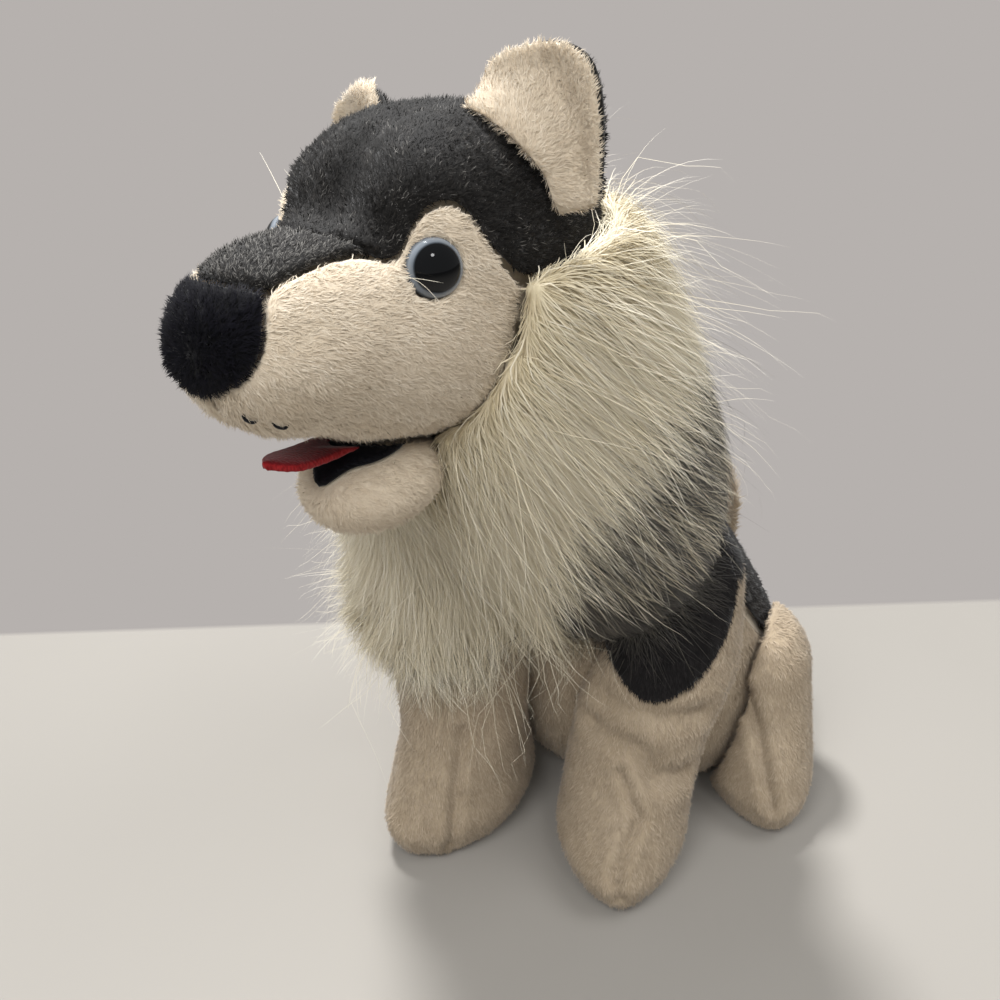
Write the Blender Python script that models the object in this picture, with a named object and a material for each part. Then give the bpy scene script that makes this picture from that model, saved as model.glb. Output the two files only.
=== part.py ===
# Sitting plush husky, built from its sewn panels and stuffed bags.
# Metres, +Z up. The dog looks along -Y and its own left side is +X.
# The origin lies on the floor, under the middle of the toy.

import math

import bpy
import bmesh
import numpy as np
from mathutils import Vector
from mathutils.bvhtree import BVHTree

# Fabric and clearances
SKIN = 0.0026
SEAM_GAP = 0.0004
PAD_GAP = 0.0014
HEAD_PAD_GAP = 0.0031
SEAT_GAP = 0.0004

# Head, from its centre
HEAD_X = -0.004
HEAD_Y = -0.045
HEAD_Z = 0.279
SKULL_HALF_WIDTH = 0.0370
SKULL_HALF_LENGTH = 0.0490
SKULL_HALF_HEIGHT = 0.0360
SKULL_BACK = 0.012
LOBE_SPACING = 0.0235
LOBE_HALF_WIDTH = 0.0245
LOBE_HALF_LENGTH = 0.0340
LOBE_HALF_HEIGHT = 0.0265
LOBE_RISE = 0.009
SNOUT_REACH = 0.0615
SNOUT_RADIUS = 0.0240
SNOUT_DROP = 0.0085
THROAT_RADIUS = 0.0325
BLEND = 0.003

# Eyes
EYE_RADIUS = 0.0072
EYE_BULGE = 0.0040
EYE_STEM_RADIUS = 0.0020
EYE_STEM_LENGTH = 0.0130
WASHER_RADIUS = 0.0065
WASHER_THICKNESS = 0.0015
EYE_SIDE = 0.0265
EYE_FORWARD = 0.0327
EYE_RISE = 0.0057

# Jaw and tongue
JAW_HALF_WIDTH = 0.0195
JAW_HALF_LENGTH = 0.0215
JAW_HALF_HEIGHT = 0.0135
JAW_FORWARD = 0.0355
JAW_DROP = 0.0550
LINING_THICKNESS = 0.0014
TONGUE_WIDTH = 0.0130
TONGUE_THICKNESS = 0.0022
TONGUE_LENGTH = 0.0300
TONGUE_DROP = 0.0392
TONGUE_RISE = 0.0042
TONGUE_TIP_FORWARD = 0.0720

# Ears
EAR_THICKNESS = 0.0030

# Body, turned a little from the head's line of sight
BODY_TURN = math.radians(6.0)
BODY_X = -0.0116
BODY_Y = 0.0070
RUMP_HALF_WIDTH = 0.0730
RUMP_HALF_LENGTH = 0.0700
CHEST_HALF_WIDTH = 0.0540
CHEST_HALF_LENGTH = 0.0500
NECK_HALF_WIDTH = 0.0340

# Front legs
PAW_SPACING = 0.0740
PAW_STAGGER = 0.0150
PAW_HALF_WIDTH = 0.0285
PAW_HALF_LENGTH = 0.0420
PAW_FORWARD = 0.0030
PAW_TAPER = 0.22
PAW_TOP = 0.045
ANKLE_RADIUS = 0.0275
UPPER_LEG_RADIUS = 0.0325
LEG_HEIGHT = 0.1540
LEG_LEAN = 0.0370
PATCH_THICKNESS = 0.0020

# Hind legs
HIND_SPACING = 0.1430
HIND_SHIFT = 0.0050
HIND_BACK = 0.0690
HIND_SPLAY = math.radians(34.0)
HIND_HALF_WIDTH = 0.0250
HIND_HALF_LENGTH = 0.0400
HIND_HEIGHT = 0.0860

# Tail
TAIL_RADIUS = 0.0165

# Ruff of long pile
RUFF_HEM = 0.0070
RUFF_SWELL = 0.0115
RUFF_EDGE = 0.0034
RUFF_LAP = 0.0015
RUFF_GAP = 0.0010


def clear_scene():
    for obj in list(bpy.data.objects):
        bpy.data.objects.remove(obj, do_unlink=True)


def make_material(name, colour, roughness, sheen=0.0):
    material = bpy.data.materials.new(name)
    material.use_nodes = True
    shader = material.node_tree.nodes["Principled BSDF"]
    shader.inputs["Base Color"].default_value = (*colour, 1.0)
    shader.inputs["Roughness"].default_value = roughness
    shader.inputs["Sheen Weight"].default_value = sheen
    return material


def make_object(name, verts, faces, material):
    """One closed mesh object with its faces turned outwards."""
    mesh = bpy.data.meshes.new(name)
    mesh.from_pydata([tuple(v) for v in verts], [], [tuple(f) for f in faces])
    work = bmesh.new()
    work.from_mesh(mesh)
    bmesh.ops.recalc_face_normals(work, faces=work.faces)
    work.to_mesh(mesh)
    work.free()
    mesh.materials.append(material)
    mesh.shade_smooth()
    mesh.set_sharp_from_angle(angle=math.radians(50))
    obj = bpy.data.objects.new(name, mesh)
    bpy.context.collection.objects.link(obj)
    return obj


def smooth_path(points, count):
    """Catmull-Rom points through the given ones, evenly spread over their number."""
    points = np.asarray(points, float)
    padded = np.vstack([2 * points[0] - points[1], points, 2 * points[-1] - points[-2]])
    out = []
    for place in np.linspace(0, len(points) - 1, count):
        i = min(int(place), len(points) - 2)
        t = place - i
        a, b, c, d = padded[i : i + 4]
        out.append(
            0.5 * (2 * b + (c - a) * t + (2 * a - 5 * b + 4 * c - d) * t**2
                   + (3 * b - a - 3 * c + d) * t**3)
        )
    return np.array(out)


def grid_faces(rows, columns, start=0, closed=False):
    faces = []
    for i in range(rows - 1):
        for j in range(columns if closed else columns - 1):
            k = (j + 1) % columns
            faces.append((start + i * columns + j, start + i * columns + k,
                          start + (i + 1) * columns + k, start + (i + 1) * columns + j))
    return faces


def draw_in_edges(grid):
    """Moves a grid's border in by half a seam gap, so that sewn neighbours stay apart."""
    grid = grid.copy()
    for edge, inner in ((0, 1), (-1, -2)):
        for line in (grid, grid.transpose(1, 0, 2)):
            step = line[inner] - line[edge]
            length = np.linalg.norm(step, axis=1, keepdims=True)
            line[edge] += step / np.maximum(length, 1e-9) * SEAM_GAP / 2
    return grid


def make_panel(name, outer, inner, material):
    """A sewn panel: two matching grids of points joined round their border."""
    outer = draw_in_edges(outer)
    inner = draw_in_edges(inner)
    rows, columns = outer.shape[:2]
    size = rows * columns
    faces = grid_faces(rows, columns)
    faces += [tuple(reversed(f)) for f in grid_faces(rows, columns, size)]
    rim = [j for j in range(columns)]
    rim += [i * columns + columns - 1 for i in range(1, rows)]
    rim += [(rows - 1) * columns + j for j in range(columns - 2, -1, -1)]
    rim += [i * columns for i in range(rows - 2, 0, -1)]
    for a, b in zip(rim, rim[1:] + rim[:1]):
        faces.append((a, a + size, b + size, b))
    return make_object(name, np.vstack([outer.reshape(-1, 3), inner.reshape(-1, 3)]), faces, material)


def make_bag(name, rings, material):
    """A stuffed bag: closed rings with a flat first end and a gathered last one."""
    rings = np.asarray(rings)
    count, around = rings.shape[:2]
    verts = list(rings.reshape(-1, 3))
    faces = grid_faces(count, around, 0, True)
    faces.append(tuple(range(around)))
    last = (count - 1) * around
    verts.append(rings[-1].mean(axis=0))
    faces += [(last + j, last + (j + 1) % around, len(verts) - 1) for j in range(around)]
    return make_object(name, verts, faces, material)


def cut(obj, cutter):
    """Takes the cutter's shape out of the object."""
    modifier = obj.modifiers.new("Cut " + cutter.name, "BOOLEAN")
    modifier.operation = "DIFFERENCE"
    modifier.solver = "EXACT"
    modifier.object = cutter


def hide_cutter(obj):
    obj.hide_render = True
    obj.display_type = "WIRE"
    return obj


def tree_of(verts, faces):
    return BVHTree.FromPolygons([Vector(v) for v in verts], faces)


# Head surface

HEAD_CENTRE = np.array([HEAD_X, HEAD_Y, HEAD_Z])
HEAD_FORMS = [
    ((0, SKULL_BACK, -0.002), (SKULL_HALF_WIDTH, SKULL_HALF_LENGTH, SKULL_HALF_HEIGHT)),
    ((LOBE_SPACING / 2, -0.003, LOBE_RISE), (LOBE_HALF_WIDTH, LOBE_HALF_LENGTH, LOBE_HALF_HEIGHT)),
    ((-LOBE_SPACING / 2, -0.003, LOBE_RISE), (LOBE_HALF_WIDTH, LOBE_HALF_LENGTH, LOBE_HALF_HEIGHT)),
    ((0, -SNOUT_REACH, -SNOUT_DROP), (SNOUT_RADIUS, SNOUT_RADIUS, SNOUT_RADIUS)),
    ((0, -0.045, -SNOUT_DROP - 0.003), (SNOUT_RADIUS + 0.0015, 0.030, SNOUT_RADIUS + 0.0015)),
    ((0, -0.030, -SNOUT_DROP - 0.0065), (SNOUT_RADIUS + 0.0065, 0.030, SNOUT_RADIUS + 0.005)),
    ((0, -0.010, -0.020), (THROAT_RADIUS + 0.001, THROAT_RADIUS - 0.0015, THROAT_RADIUS - 0.0015)),
]


def head_distance(points):
    """Roughly how far each point, measured from the head's centre, lies outside the head."""
    each = []
    for centre, radii in HEAD_FORMS:
        scaled = (points - np.array(centre)) / np.array(radii)
        near = np.linalg.norm(scaled, axis=-1)
        slope = np.linalg.norm(scaled / np.array(radii), axis=-1) + 1e-9
        each.append(near * (near - 1) / slope)
    return -BLEND * np.log(np.exp(-np.array(each) / BLEND).sum(axis=0))


def head_points(directions, lift=0.0):
    """World points on the head along directions from its centre, raised by lift."""
    directions = np.asarray(directions, float)
    directions = directions / np.linalg.norm(directions, axis=-1, keepdims=True)
    low = np.full(directions.shape[:-1], 0.010)
    high = np.full(directions.shape[:-1], 0.120)
    for _ in range(32):
        middle = (low + high) / 2
        outside = head_distance(directions * middle[..., None]) > 0
        high = np.where(outside, middle, high)
        low = np.where(outside, low, middle)
    points = directions * low[..., None]
    step = 1e-5
    normals = np.stack(
        [head_distance(points + step * axis) - head_distance(points - step * axis)
         for axis in np.eye(3)], axis=-1)
    normals /= np.linalg.norm(normals, axis=-1, keepdims=True)
    lift = np.asarray(lift, float)
    return HEAD_CENTRE + points + normals * (lift[..., None] if lift.ndim else lift)


def head_rings(lift, rings, around):
    """Rings about the snout's axis, nose first."""
    grid = []
    for tilt in np.linspace(0.0, math.pi, rings + 2)[1:-1]:
        turn = np.linspace(0, 2 * math.pi, around, endpoint=False)
        grid.append(np.stack([np.sin(tilt) * np.sin(turn), np.full(around, -np.cos(tilt)),
                              np.sin(tilt) * np.cos(turn)], axis=-1))
    return head_points(np.array(grid), lift)


def arched_rows(edges, middles, count, columns):
    """Rows from the left edge over the middle to the mirrored right edge."""
    edges = smooth_path(edges, count)
    middles = smooth_path(middles, count)
    mirrored = edges * np.array([-1, 1, 1])
    control = 2 * middles - (edges + mirrored) / 2
    t = np.linspace(0, 1, columns)[None, :, None]
    return ((1 - t) ** 2 * edges[:, None] + 2 * t * (1 - t) * control[:, None]
            + t**2 * mirrored[:, None])


def coons(top, bottom, front, back):
    """Directions between four border lines that share their corners."""
    u = np.linspace(0, 1, len(top))[None, :, None]
    v = np.linspace(0, 1, len(front))[:, None, None]
    flat = ((1 - u) * (1 - v) * top[0] + u * (1 - v) * top[-1]
            + (1 - u) * v * bottom[0] + u * v * bottom[-1])
    return ((1 - v) * top[None] + v * bottom[None] + (1 - u) * front[:, None]
            + u * back[:, None] - flat)


# Seam lines on the head's left side, from its centre: edge points and, for the
# panels that cross the middle, the middle point of the same row.
NOSE_EDGE = [(0.0120, -0.0725, 0.0098), (0.0150, -0.077, 0.003), (0.0153, -0.0785, -0.0030),
             (0.0122, -0.0820, -0.0090), (0.0062, -0.0845, -0.0125), (0.0008, -0.0850, -0.0145)]
NOSE_MIDDLE = [(0, -0.0745, 0.0110), (0, -0.081, 0.004), (0, -0.084, -0.0030),
               (0, -0.085, -0.0075), (0, -0.0852, -0.0112), (0, -0.0850, -0.0142)]
STRIPE_EDGE = [(0.0120, -0.0725, 0.0098), (0.0134, -0.0626, 0.0119), (0.0132, -0.0483, 0.0122),
               (0.0160, -0.0422, 0.0113)]
STRIPE_MIDDLE = [(0, -0.0745, 0.0110), (0, -0.0620, 0.0155), (0, -0.048, 0.0145), (0, -0.040, 0.0130)]
MASK_EDGE = [(0.0160, -0.0422, 0.0113), (0.0196, -0.0402, 0.0090), (0.0212, -0.0376, 0.0102),
             (0.0214, -0.0342, 0.0146), (0.0232, -0.0308, 0.0190), (0.0266, -0.0262, 0.0205),
             (0.0303, -0.0228, 0.0180), (0.0336, -0.0201, 0.0098), (0.0352, -0.0154, 0.0020),
             (0.0362, -0.0089, -0.0038)]
MASK_MIDDLE = [(0, -0.040, 0.0130), (0, -0.037, 0.0150), (0, -0.035, 0.0180), (0, -0.033, 0.021),
               (0, -0.030, 0.0240), (0, -0.026, 0.027), (0, -0.021, 0.030), (0, -0.015, 0.032),
               (0, -0.008, 0.0335), (0, 0.001, 0.0340)]
NAPE_EDGE = [(0.0362, -0.0089, -0.0038), (0.0373, 0.002, -0.0050), (0.0370, 0.0143, -0.0057),
             (0.0330, 0.032, -0.0055), (0.0220, 0.050, -0.0045), (0.0020, 0.060, -0.0035)]
NAPE_MIDDLE = [(0, 0.001, 0.0340), (0, 0.014, 0.034), (0, 0.030, 0.0310), (0, 0.046, 0.022),
               (0, 0.056, 0.011), (0, 0.0605, -0.0020)]
RUFF_SEAM = [(0.0362, -0.0089, -0.0038), (0.0350, -0.0100, -0.0120), (0.0335, -0.0120, -0.0210),
             (0.0300, -0.0150, -0.0310), (0.0220, -0.0170, -0.0410), (0.0008, -0.0180, -0.0500)]
CHIN_LINE = [(0.0008, -0.0850, -0.0145), (0.0008, -0.0820, -0.0225), (0.0008, -0.0750, -0.0290),
             (0.0008, -0.0620, -0.0330), (0.0008, -0.0480, -0.0370), (0.0008, -0.0340, -0.0440),
             (0.0008, -0.0180, -0.0500)]
STRIPE_ROWS = 7
MASK_ROWS = 14
NAPE_ROWS = 8
FACE_ROWS = 8
CROSS_COLUMNS = 11


def make_head(materials):
    """The head's stuffing and the sewn panels round it."""
    stuffing = make_head_solid("head_stuffing", -SKIN - HEAD_PAD_GAP, materials["stuffing"], 17, 26)
    stripe = arched_rows(STRIPE_EDGE, STRIPE_MIDDLE, STRIPE_ROWS, CROSS_COLUMNS)
    stripe[-1] += (stripe[-2] - stripe[-1]) * 0.05
    nose = arched_rows(NOSE_EDGE, NOSE_MIDDLE, FACE_ROWS, CROSS_COLUMNS)
    brow = arched_rows(MASK_EDGE, MASK_MIDDLE, MASK_ROWS, CROSS_COLUMNS)
    nape = arched_rows(NAPE_EDGE, NAPE_MIDDLE, NAPE_ROWS, CROSS_COLUMNS)
    mask = np.vstack([brow, nape[1:]])
    panels = [
        make_panel("muzzle_stripe", head_points(stripe), head_points(stripe, -SKIN), materials["grey"]),
        make_panel("nose", head_points(nose, 0.0012), head_points(nose, -SKIN), materials["black"]),
        make_panel("mask_panel", head_points(mask), head_points(mask, -SKIN), materials["grey"]),
    ]
    top = np.vstack([smooth_path(STRIPE_EDGE, STRIPE_ROWS), smooth_path(MASK_EDGE, MASK_ROWS)[1:]])
    bottom = smooth_path(CHIN_LINE, len(top))
    face = coons(top, bottom, smooth_path(NOSE_EDGE, FACE_ROWS), smooth_path(RUFF_SEAM, FACE_ROWS))
    for side, sign in (("left", 1), ("right", -1)):
        turned = face * np.array([sign, 1, 1])
        panels.append(make_panel("face_panel_" + side, head_points(turned),
                                 head_points(turned, -SKIN), materials["cream"]))
    return stuffing, panels


def make_head_solid(name, lift, material, rings, around):
    rings = head_rings(lift, rings, around)
    ends = head_points(np.array([(0, -1.0, 0), (0, 1.0, 0)]), lift)
    count, around = rings.shape[:2]
    verts = list(rings.reshape(-1, 3)) + list(ends)
    faces = grid_faces(count, around, 0, True)
    last = (count - 1) * around
    for j in range(around):
        k = (j + 1) % around
        faces.append((j, k, len(verts) - 2))
        faces.append((last + j, last + k, len(verts) - 1))
    return make_object(name, verts, faces, material)


def turned_solid(name, profile, centre, axis, material, around=16):
    """A round piece: (radius, height) points turned about an axis, both ends on it."""
    axis = Vector(axis).normalized()
    turn = Vector((0, 0, 1)).rotation_difference(axis).to_matrix()
    verts = []
    for radius, height in profile[1:-1]:
        for j in range(around):
            angle = 2 * math.pi * j / around
            spot = Vector((radius * math.cos(angle), radius * math.sin(angle), height))
            verts.append(Vector(centre) + turn @ spot)
    rings = len(profile) - 2
    faces = grid_faces(rings, around, 0, True)
    for height, ring in ((profile[0][1], 0), (profile[-1][1], rings - 1)):
        verts.append(Vector(centre) + axis * height)
        for j in range(around):
            faces.append((ring * around + j, ring * around + (j + 1) % around, len(verts) - 1))
    return make_object(name, verts, faces, material)


def make_eye(side, sign, sewn, materials):
    """A domed eye with its stem through the fabric and a washer inside."""
    toward = np.array([sign * EYE_SIDE, -EYE_FORWARD, EYE_RISE])
    surface = head_points(toward[None])[0]
    axis = head_points(toward[None], 0.01)[0] - surface
    axis = axis / np.linalg.norm(axis)
    sink = EYE_RADIUS**2 / (2 * 0.030)
    seat = surface - axis * sink
    dome = [(0, -EYE_STEM_LENGTH), (EYE_STEM_RADIUS, -EYE_STEM_LENGTH), (EYE_STEM_RADIUS, 0)]
    for angle in np.linspace(0, math.pi / 2, 6)[:-1]:
        dome.append((EYE_RADIUS * math.cos(angle), EYE_BULGE * math.sin(angle) + 0.0006))
    dome[3:3] = [(EYE_RADIUS, 0)]
    dome.append((0, EYE_BULGE + 0.0006))
    eye = turned_solid("eye_" + side, dome, seat, axis, materials["eye"])
    inside = EYE_STEM_LENGTH - 0.003
    hole = EYE_STEM_RADIUS + SEAM_GAP
    washer = [(hole, -inside), (WASHER_RADIUS, -inside), (WASHER_RADIUS, WASHER_THICKNESS - inside),
              (hole, WASHER_THICKNESS - inside)]
    make_ring("eye_washer_" + side, washer, seat, axis, materials["washer"])
    room = SEAM_GAP
    cavity = [(0, -EYE_STEM_LENGTH - room), (hole, -EYE_STEM_LENGTH - room), (hole, -inside - room),
              (WASHER_RADIUS + room, -inside - room),
              (WASHER_RADIUS + room, WASHER_THICKNESS - inside + room),
              (hole, WASHER_THICKNESS - inside + room), (hole, -room), (EYE_RADIUS + room, -room),
              (EYE_RADIUS + room, 0.008), (0, 0.008)]
    cutter = hide_cutter(turned_solid("eye_room_" + side, cavity, seat, axis, materials["washer"]))
    for obj in sewn:
        cut(obj, cutter)
    return eye


def make_ring(name, profile, centre, axis, material, around=16):
    """A ring: a closed (radius, height) outline turned about an axis that it stays clear of."""
    axis = Vector(axis).normalized()
    turn = Vector((0, 0, 1)).rotation_difference(axis).to_matrix()
    verts = []
    faces = []
    corners = len(profile)
    for j in range(around):
        angle = 2 * math.pi * j / around
        for radius, height in profile:
            spot = Vector((radius * math.cos(angle), radius * math.sin(angle), height))
            verts.append(Vector(centre) + turn @ spot)
    for j in range(around):
        k = (j + 1) % around
        for i in range(corners):
            n = (i + 1) % corners
            faces.append((j * corners + i, j * corners + n, k * corners + n, k * corners + i))
    return make_object(name, verts, faces, material)


def ellipsoid_rings(centre, radii, pitch, lift, lows, highs, rings, around):
    """Rings of an ellipsoid about the vertical, tipped forward by pitch."""
    grid = []
    for tilt in np.linspace(lows, highs, rings):
        turn = np.linspace(0, 2 * math.pi, around, endpoint=False)
        unit = np.stack([np.cos(tilt) * np.cos(turn), np.cos(tilt) * np.sin(turn),
                         np.full(around, np.sin(tilt))], axis=-1)
        grid.append(unit * (np.array(radii) + lift))
    grid = np.array(grid)
    y = grid[..., 1] * math.cos(pitch) - grid[..., 2] * math.sin(pitch)
    z = grid[..., 1] * math.sin(pitch) + grid[..., 2] * math.cos(pitch)
    return np.stack([grid[..., 0], y, z], axis=-1) + np.array(centre)


JAW_PITCH = math.radians(8.0)


def jaw_rings(lift, lows=-1.35, highs=1.35, rings=9, around=24):
    centre = HEAD_CENTRE + np.array([0, -JAW_FORWARD, -JAW_DROP])
    radii = (JAW_HALF_WIDTH, JAW_HALF_LENGTH, JAW_HALF_HEIGHT)
    return ellipsoid_rings(centre, radii, JAW_PITCH, lift, lows, highs, rings, around)


LINING_FRONT = 0.45
LINING_SIDE = 0.88
LINING_TOP = 1.30


def lining_edge(around=24):
    """The lining's lower edge: low at the jaw's front, and high where the cheeks puff up beside it."""
    off_front = np.abs(np.degrees(np.linspace(0, 2 * math.pi, around, endpoint=False)) - 270)
    return np.interp(off_front, [0, 15, 30], [LINING_FRONT, 0.70, LINING_SIDE])


def make_mouth(head_room, materials):
    """The lower jaw cushion, the dark lining on it and the felt tongue."""
    jaw = make_bag("lower_jaw", jaw_rings(0), materials["cream"])
    cut(jaw, head_room)
    outer = jaw_rings(LINING_THICKNESS + SEAM_GAP, lining_edge(), LINING_TOP, 5)
    inner = jaw_rings(SEAM_GAP, lining_edge(), LINING_TOP, 5)
    count, around = outer.shape[:2]
    front = [j for j in range(around) if outer[0, j, 1] < HEAD_Y - JAW_FORWARD + 0.006]
    order = sorted(front, key=lambda j: (j - around * 3 // 4 + around // 2) % around)
    lining = make_panel("mouth_lining", outer[:, order], inner[:, order], materials["black"])
    cut(lining, head_room)
    make_tongue(head_room, materials["red"], jaw_rings(LINING_THICKNESS + 2 * SEAM_GAP + 0.0003))


def make_tongue(head_room, material, below):
    """A flat felt strip with a round tip, lying on the lining and out under the snout."""
    rows, columns = 11, 7
    top = []
    for i in range(rows):
        along = i / (rows - 1)
        narrowing = 1.0 if along < 0.72 else math.sqrt(max(1 - ((along - 0.72) / 0.285) ** 2, 0.02))
        line = []
        for j in range(columns):
            across = 2 * j / (columns - 1) - 1
            x = across * TONGUE_WIDTH / 2 * narrowing
            y = -TONGUE_TIP_FORWARD + TONGUE_LENGTH * (1 - along)
            z = TONGUE_RISE * along - TONGUE_DROP - 0.0010 * math.sin(math.pi * along) - 0.0008 * across**2
            line.append((x, y, z))
        top.append(line)
    top = np.array(top) + HEAD_CENTRE
    bottom = top - np.array([0, 0, TONGUE_THICKNESS])
    tongue = make_panel("tongue", top, bottom, material)
    cut(tongue, head_room)
    clear = hide_cutter(make_bag("lining_room", below, material))
    cut(tongue, clear)


# Ears, each a cream front and a grey back sewn along their edge. Each line runs from the
# ear's inner end to its outer one: along the head, halfway up and along the free edge.

EAR_LINES = {
    "left": [
        [(0.0125, 0.0010, 0.0355), (0.0205, -0.0015, 0.0335), (0.0285, 0.0000, 0.0280),
         (0.0340, 0.0030, 0.0200), (0.0365, 0.0060, 0.0100)],
        [(0.0148, 0.0050, 0.0415), (0.0238, 0.0075, 0.0425), (0.0345, 0.0080, 0.0400),
         (0.0415, 0.0090, 0.0315), (0.0430, 0.0080, 0.0110)],
        [(0.0165, 0.0080, 0.0470), (0.0275, 0.0075, 0.0515), (0.0400, 0.0065, 0.0520),
         (0.0485, 0.0080, 0.0440), (0.0485, 0.0085, 0.0120)],
    ],
    "right": [
        [(0.0130, -0.0005, 0.0325), (0.0195, 0.0025, 0.0312), (0.0255, 0.0088, 0.0270),
         (0.0310, 0.0150, 0.0200), (0.0335, 0.0200, 0.0100)],
        [(0.0172, 0.0022, 0.0388), (0.0262, 0.0067, 0.0380), (0.0360, 0.0120, 0.0345),
         (0.0430, 0.0165, 0.0260), (0.0425, 0.0190, 0.0108)],
        [(0.0205, 0.0062, 0.0402), (0.0315, 0.0098, 0.0392), (0.0440, 0.0150, 0.0350),
         (0.0530, 0.0190, 0.0265), (0.0500, 0.0200, 0.0110)],
    ],
}


def make_ear(side, sign, head_room, materials):
    rows, columns = 7, 9
    lines = np.array([smooth_path(line, columns) for line in EAR_LINES[side]])
    grid = np.stack([smooth_path(lines[:, j], rows) for j in range(columns)], axis=1)
    grid = grid * np.array([sign, 1, 1]) + HEAD_CENTRE
    down = np.gradient(grid, axis=0)
    across = np.gradient(grid, axis=1)
    out = np.cross(across, down)
    out /= np.linalg.norm(out, axis=-1, keepdims=True)
    out *= np.sign(out[..., 1].mean())
    rim = 1 - np.linspace(-1, 1, columns)[None] ** 4
    tip = 1 - np.linspace(0, 1, rows)[:, None] ** 4
    puff = EAR_THICKNESS * (0.55 + 0.45 * rim * tip)
    half = np.full(puff.shape, SEAM_GAP)
    for name, near, far, material in (
        ("ear_front_", -half - puff, -half, "cream"),
        ("ear_back_", half, half + puff, "grey"),
    ):
        ear = make_panel(name + side, grid + near[..., None] * out, grid + far[..., None] * out,
                         materials[material])
        cut(ear, head_room)


# Body frame: l runs to the dog's left, t runs to its back.

BODY_LEFT = np.array([math.cos(BODY_TURN), math.sin(BODY_TURN), 0])
BODY_BACK = np.array([-math.sin(BODY_TURN), math.cos(BODY_TURN), 0])
BODY_UP = np.array([0, 0, 1.0])


def body_point(l, t, z):
    l, t, z = (np.asarray(v, float)[..., None] for v in (l, t, z))
    return np.array([BODY_X, BODY_Y, 0]) + l * BODY_LEFT + t * BODY_BACK + z * BODY_UP


# Torso levels: height, sideways shift, distance back, half-width, half-length
TORSO_LEVELS = [
    (0.000, 0.008, 0.088, RUMP_HALF_WIDTH - 0.025, RUMP_HALF_LENGTH - 0.024),
    (0.007, 0.008, 0.088, RUMP_HALF_WIDTH - 0.010, RUMP_HALF_LENGTH - 0.011),
    (0.022, 0.008, 0.088, RUMP_HALF_WIDTH - 0.002, RUMP_HALF_LENGTH - 0.002),
    (0.042, 0.008, 0.087, RUMP_HALF_WIDTH, RUMP_HALF_LENGTH),
    (0.065, 0.007, 0.083, RUMP_HALF_WIDTH - 0.003, RUMP_HALF_LENGTH - 0.002),
    (0.092, 0.005, 0.073, CHEST_HALF_WIDTH + 0.010, CHEST_HALF_LENGTH + 0.012),
    (0.120, 0.004, 0.058, CHEST_HALF_WIDTH + 0.004, CHEST_HALF_LENGTH + 0.005),
    (0.145, 0.003, 0.043, CHEST_HALF_WIDTH, CHEST_HALF_LENGTH),
    (0.170, 0.002, 0.026, CHEST_HALF_WIDTH - 0.004, CHEST_HALF_LENGTH - 0.005),
    (0.195, 0.001, 0.006, NECK_HALF_WIDTH + 0.011, CHEST_HALF_LENGTH - 0.010),
    (0.217, 0.000, -0.012, NECK_HALF_WIDTH + 0.005, CHEST_HALF_LENGTH - 0.014),
    (0.240, 0.000, -0.027, NECK_HALF_WIDTH - 0.004, CHEST_HALF_LENGTH - 0.021),
]
SEAT_HEIGHT = 0.0015
TORSO_LOW = SKIN + 2 * SEAM_GAP
TORSO_HIGH = 0.236
BACK_SEAM = [(TORSO_LOW, 62), (0.045, 78), (0.085, 92), (0.130, 100), (0.180, 100), (TORSO_HIGH, 96)]


def torso_point(angle, z, lift=0.0):
    """World points of the torso at an angle from straight back, moved out by lift."""
    levels = np.array(TORSO_LEVELS)
    fine = smooth_path(levels, 8 * len(levels) - 7)

    def at(angle, z):
        l, t, a, d = (np.interp(z, fine[:, 0], fine[:, i]) for i in range(1, 5))
        return body_point(l + a * np.sin(angle), t + d * np.cos(angle), z)

    angle, z = np.broadcast_arrays(np.asarray(angle, float), np.asarray(z, float))
    points = at(angle, z)
    around = at(angle + 0.01, z) - at(angle - 0.01, z)
    upward = at(angle, z + 0.0005) - at(angle, z - 0.0005)
    normals = np.cross(upward, around)
    normals /= np.linalg.norm(normals, axis=-1, keepdims=True)
    return points + normals * lift


def torso_rings(lift, low, high, rings, around):
    angles = np.linspace(0, 2 * math.pi, around, endpoint=False)
    heights = np.concatenate([[low, low + 0.006], np.linspace(low + 0.018, high, rings - 2)])
    return torso_point(angles[None], heights[:, None], lift)


def make_torso(head_room, materials):
    """Torso stuffing, the grey back, the cream belly and the flat seat under them."""
    heights = np.concatenate([[TORSO_LOW, 0.009], np.linspace(0.022, TORSO_HIGH, 13)])
    seam = np.radians(np.interp(heights, [s[0] for s in BACK_SEAM], [s[1] for s in BACK_SEAM]))
    share = np.linspace(-1, 1, 14)[None]
    back = share * seam[:, None]
    belly = seam[:, None] + (share + 1) / 2 * (2 * math.pi - 2 * seam[:, None])
    core = torso_point(np.hstack([back, belly[:, 1:-1]]), heights[:, None], -SKIN - PAD_GAP)
    core[0, :, 2] = core[0, :, 2].max()
    sole = core[0] + (core[0].mean(axis=0) - core[0]) * 0.08
    sole[:, 2] = SKIN + SEAT_GAP
    core = np.vstack([sole[None], core])
    stuffing = make_bag("torso_stuffing", core, materials["stuffing"])
    panels = []
    for name, angle, material in (("back_panel", back, "grey"), ("belly_panel", belly, "cream")):
        grid = [torso_point(angle, heights[:, None], lift) for lift in (0, -SKIN)]
        panels.append(make_panel(name, grid[0], grid[1], materials[material]))
    ring = torso_point(np.linspace(0, 2 * math.pi, 26, endpoint=False), SEAT_HEIGHT)
    low = ring.copy()
    low[:, 2] = 0.0
    high = ring.copy()
    high[:, 2] = SKIN
    make_bag("seat_panel", [low, high], materials["cream"])
    for obj in [stuffing] + panels:
        cut(obj, head_room)


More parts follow.
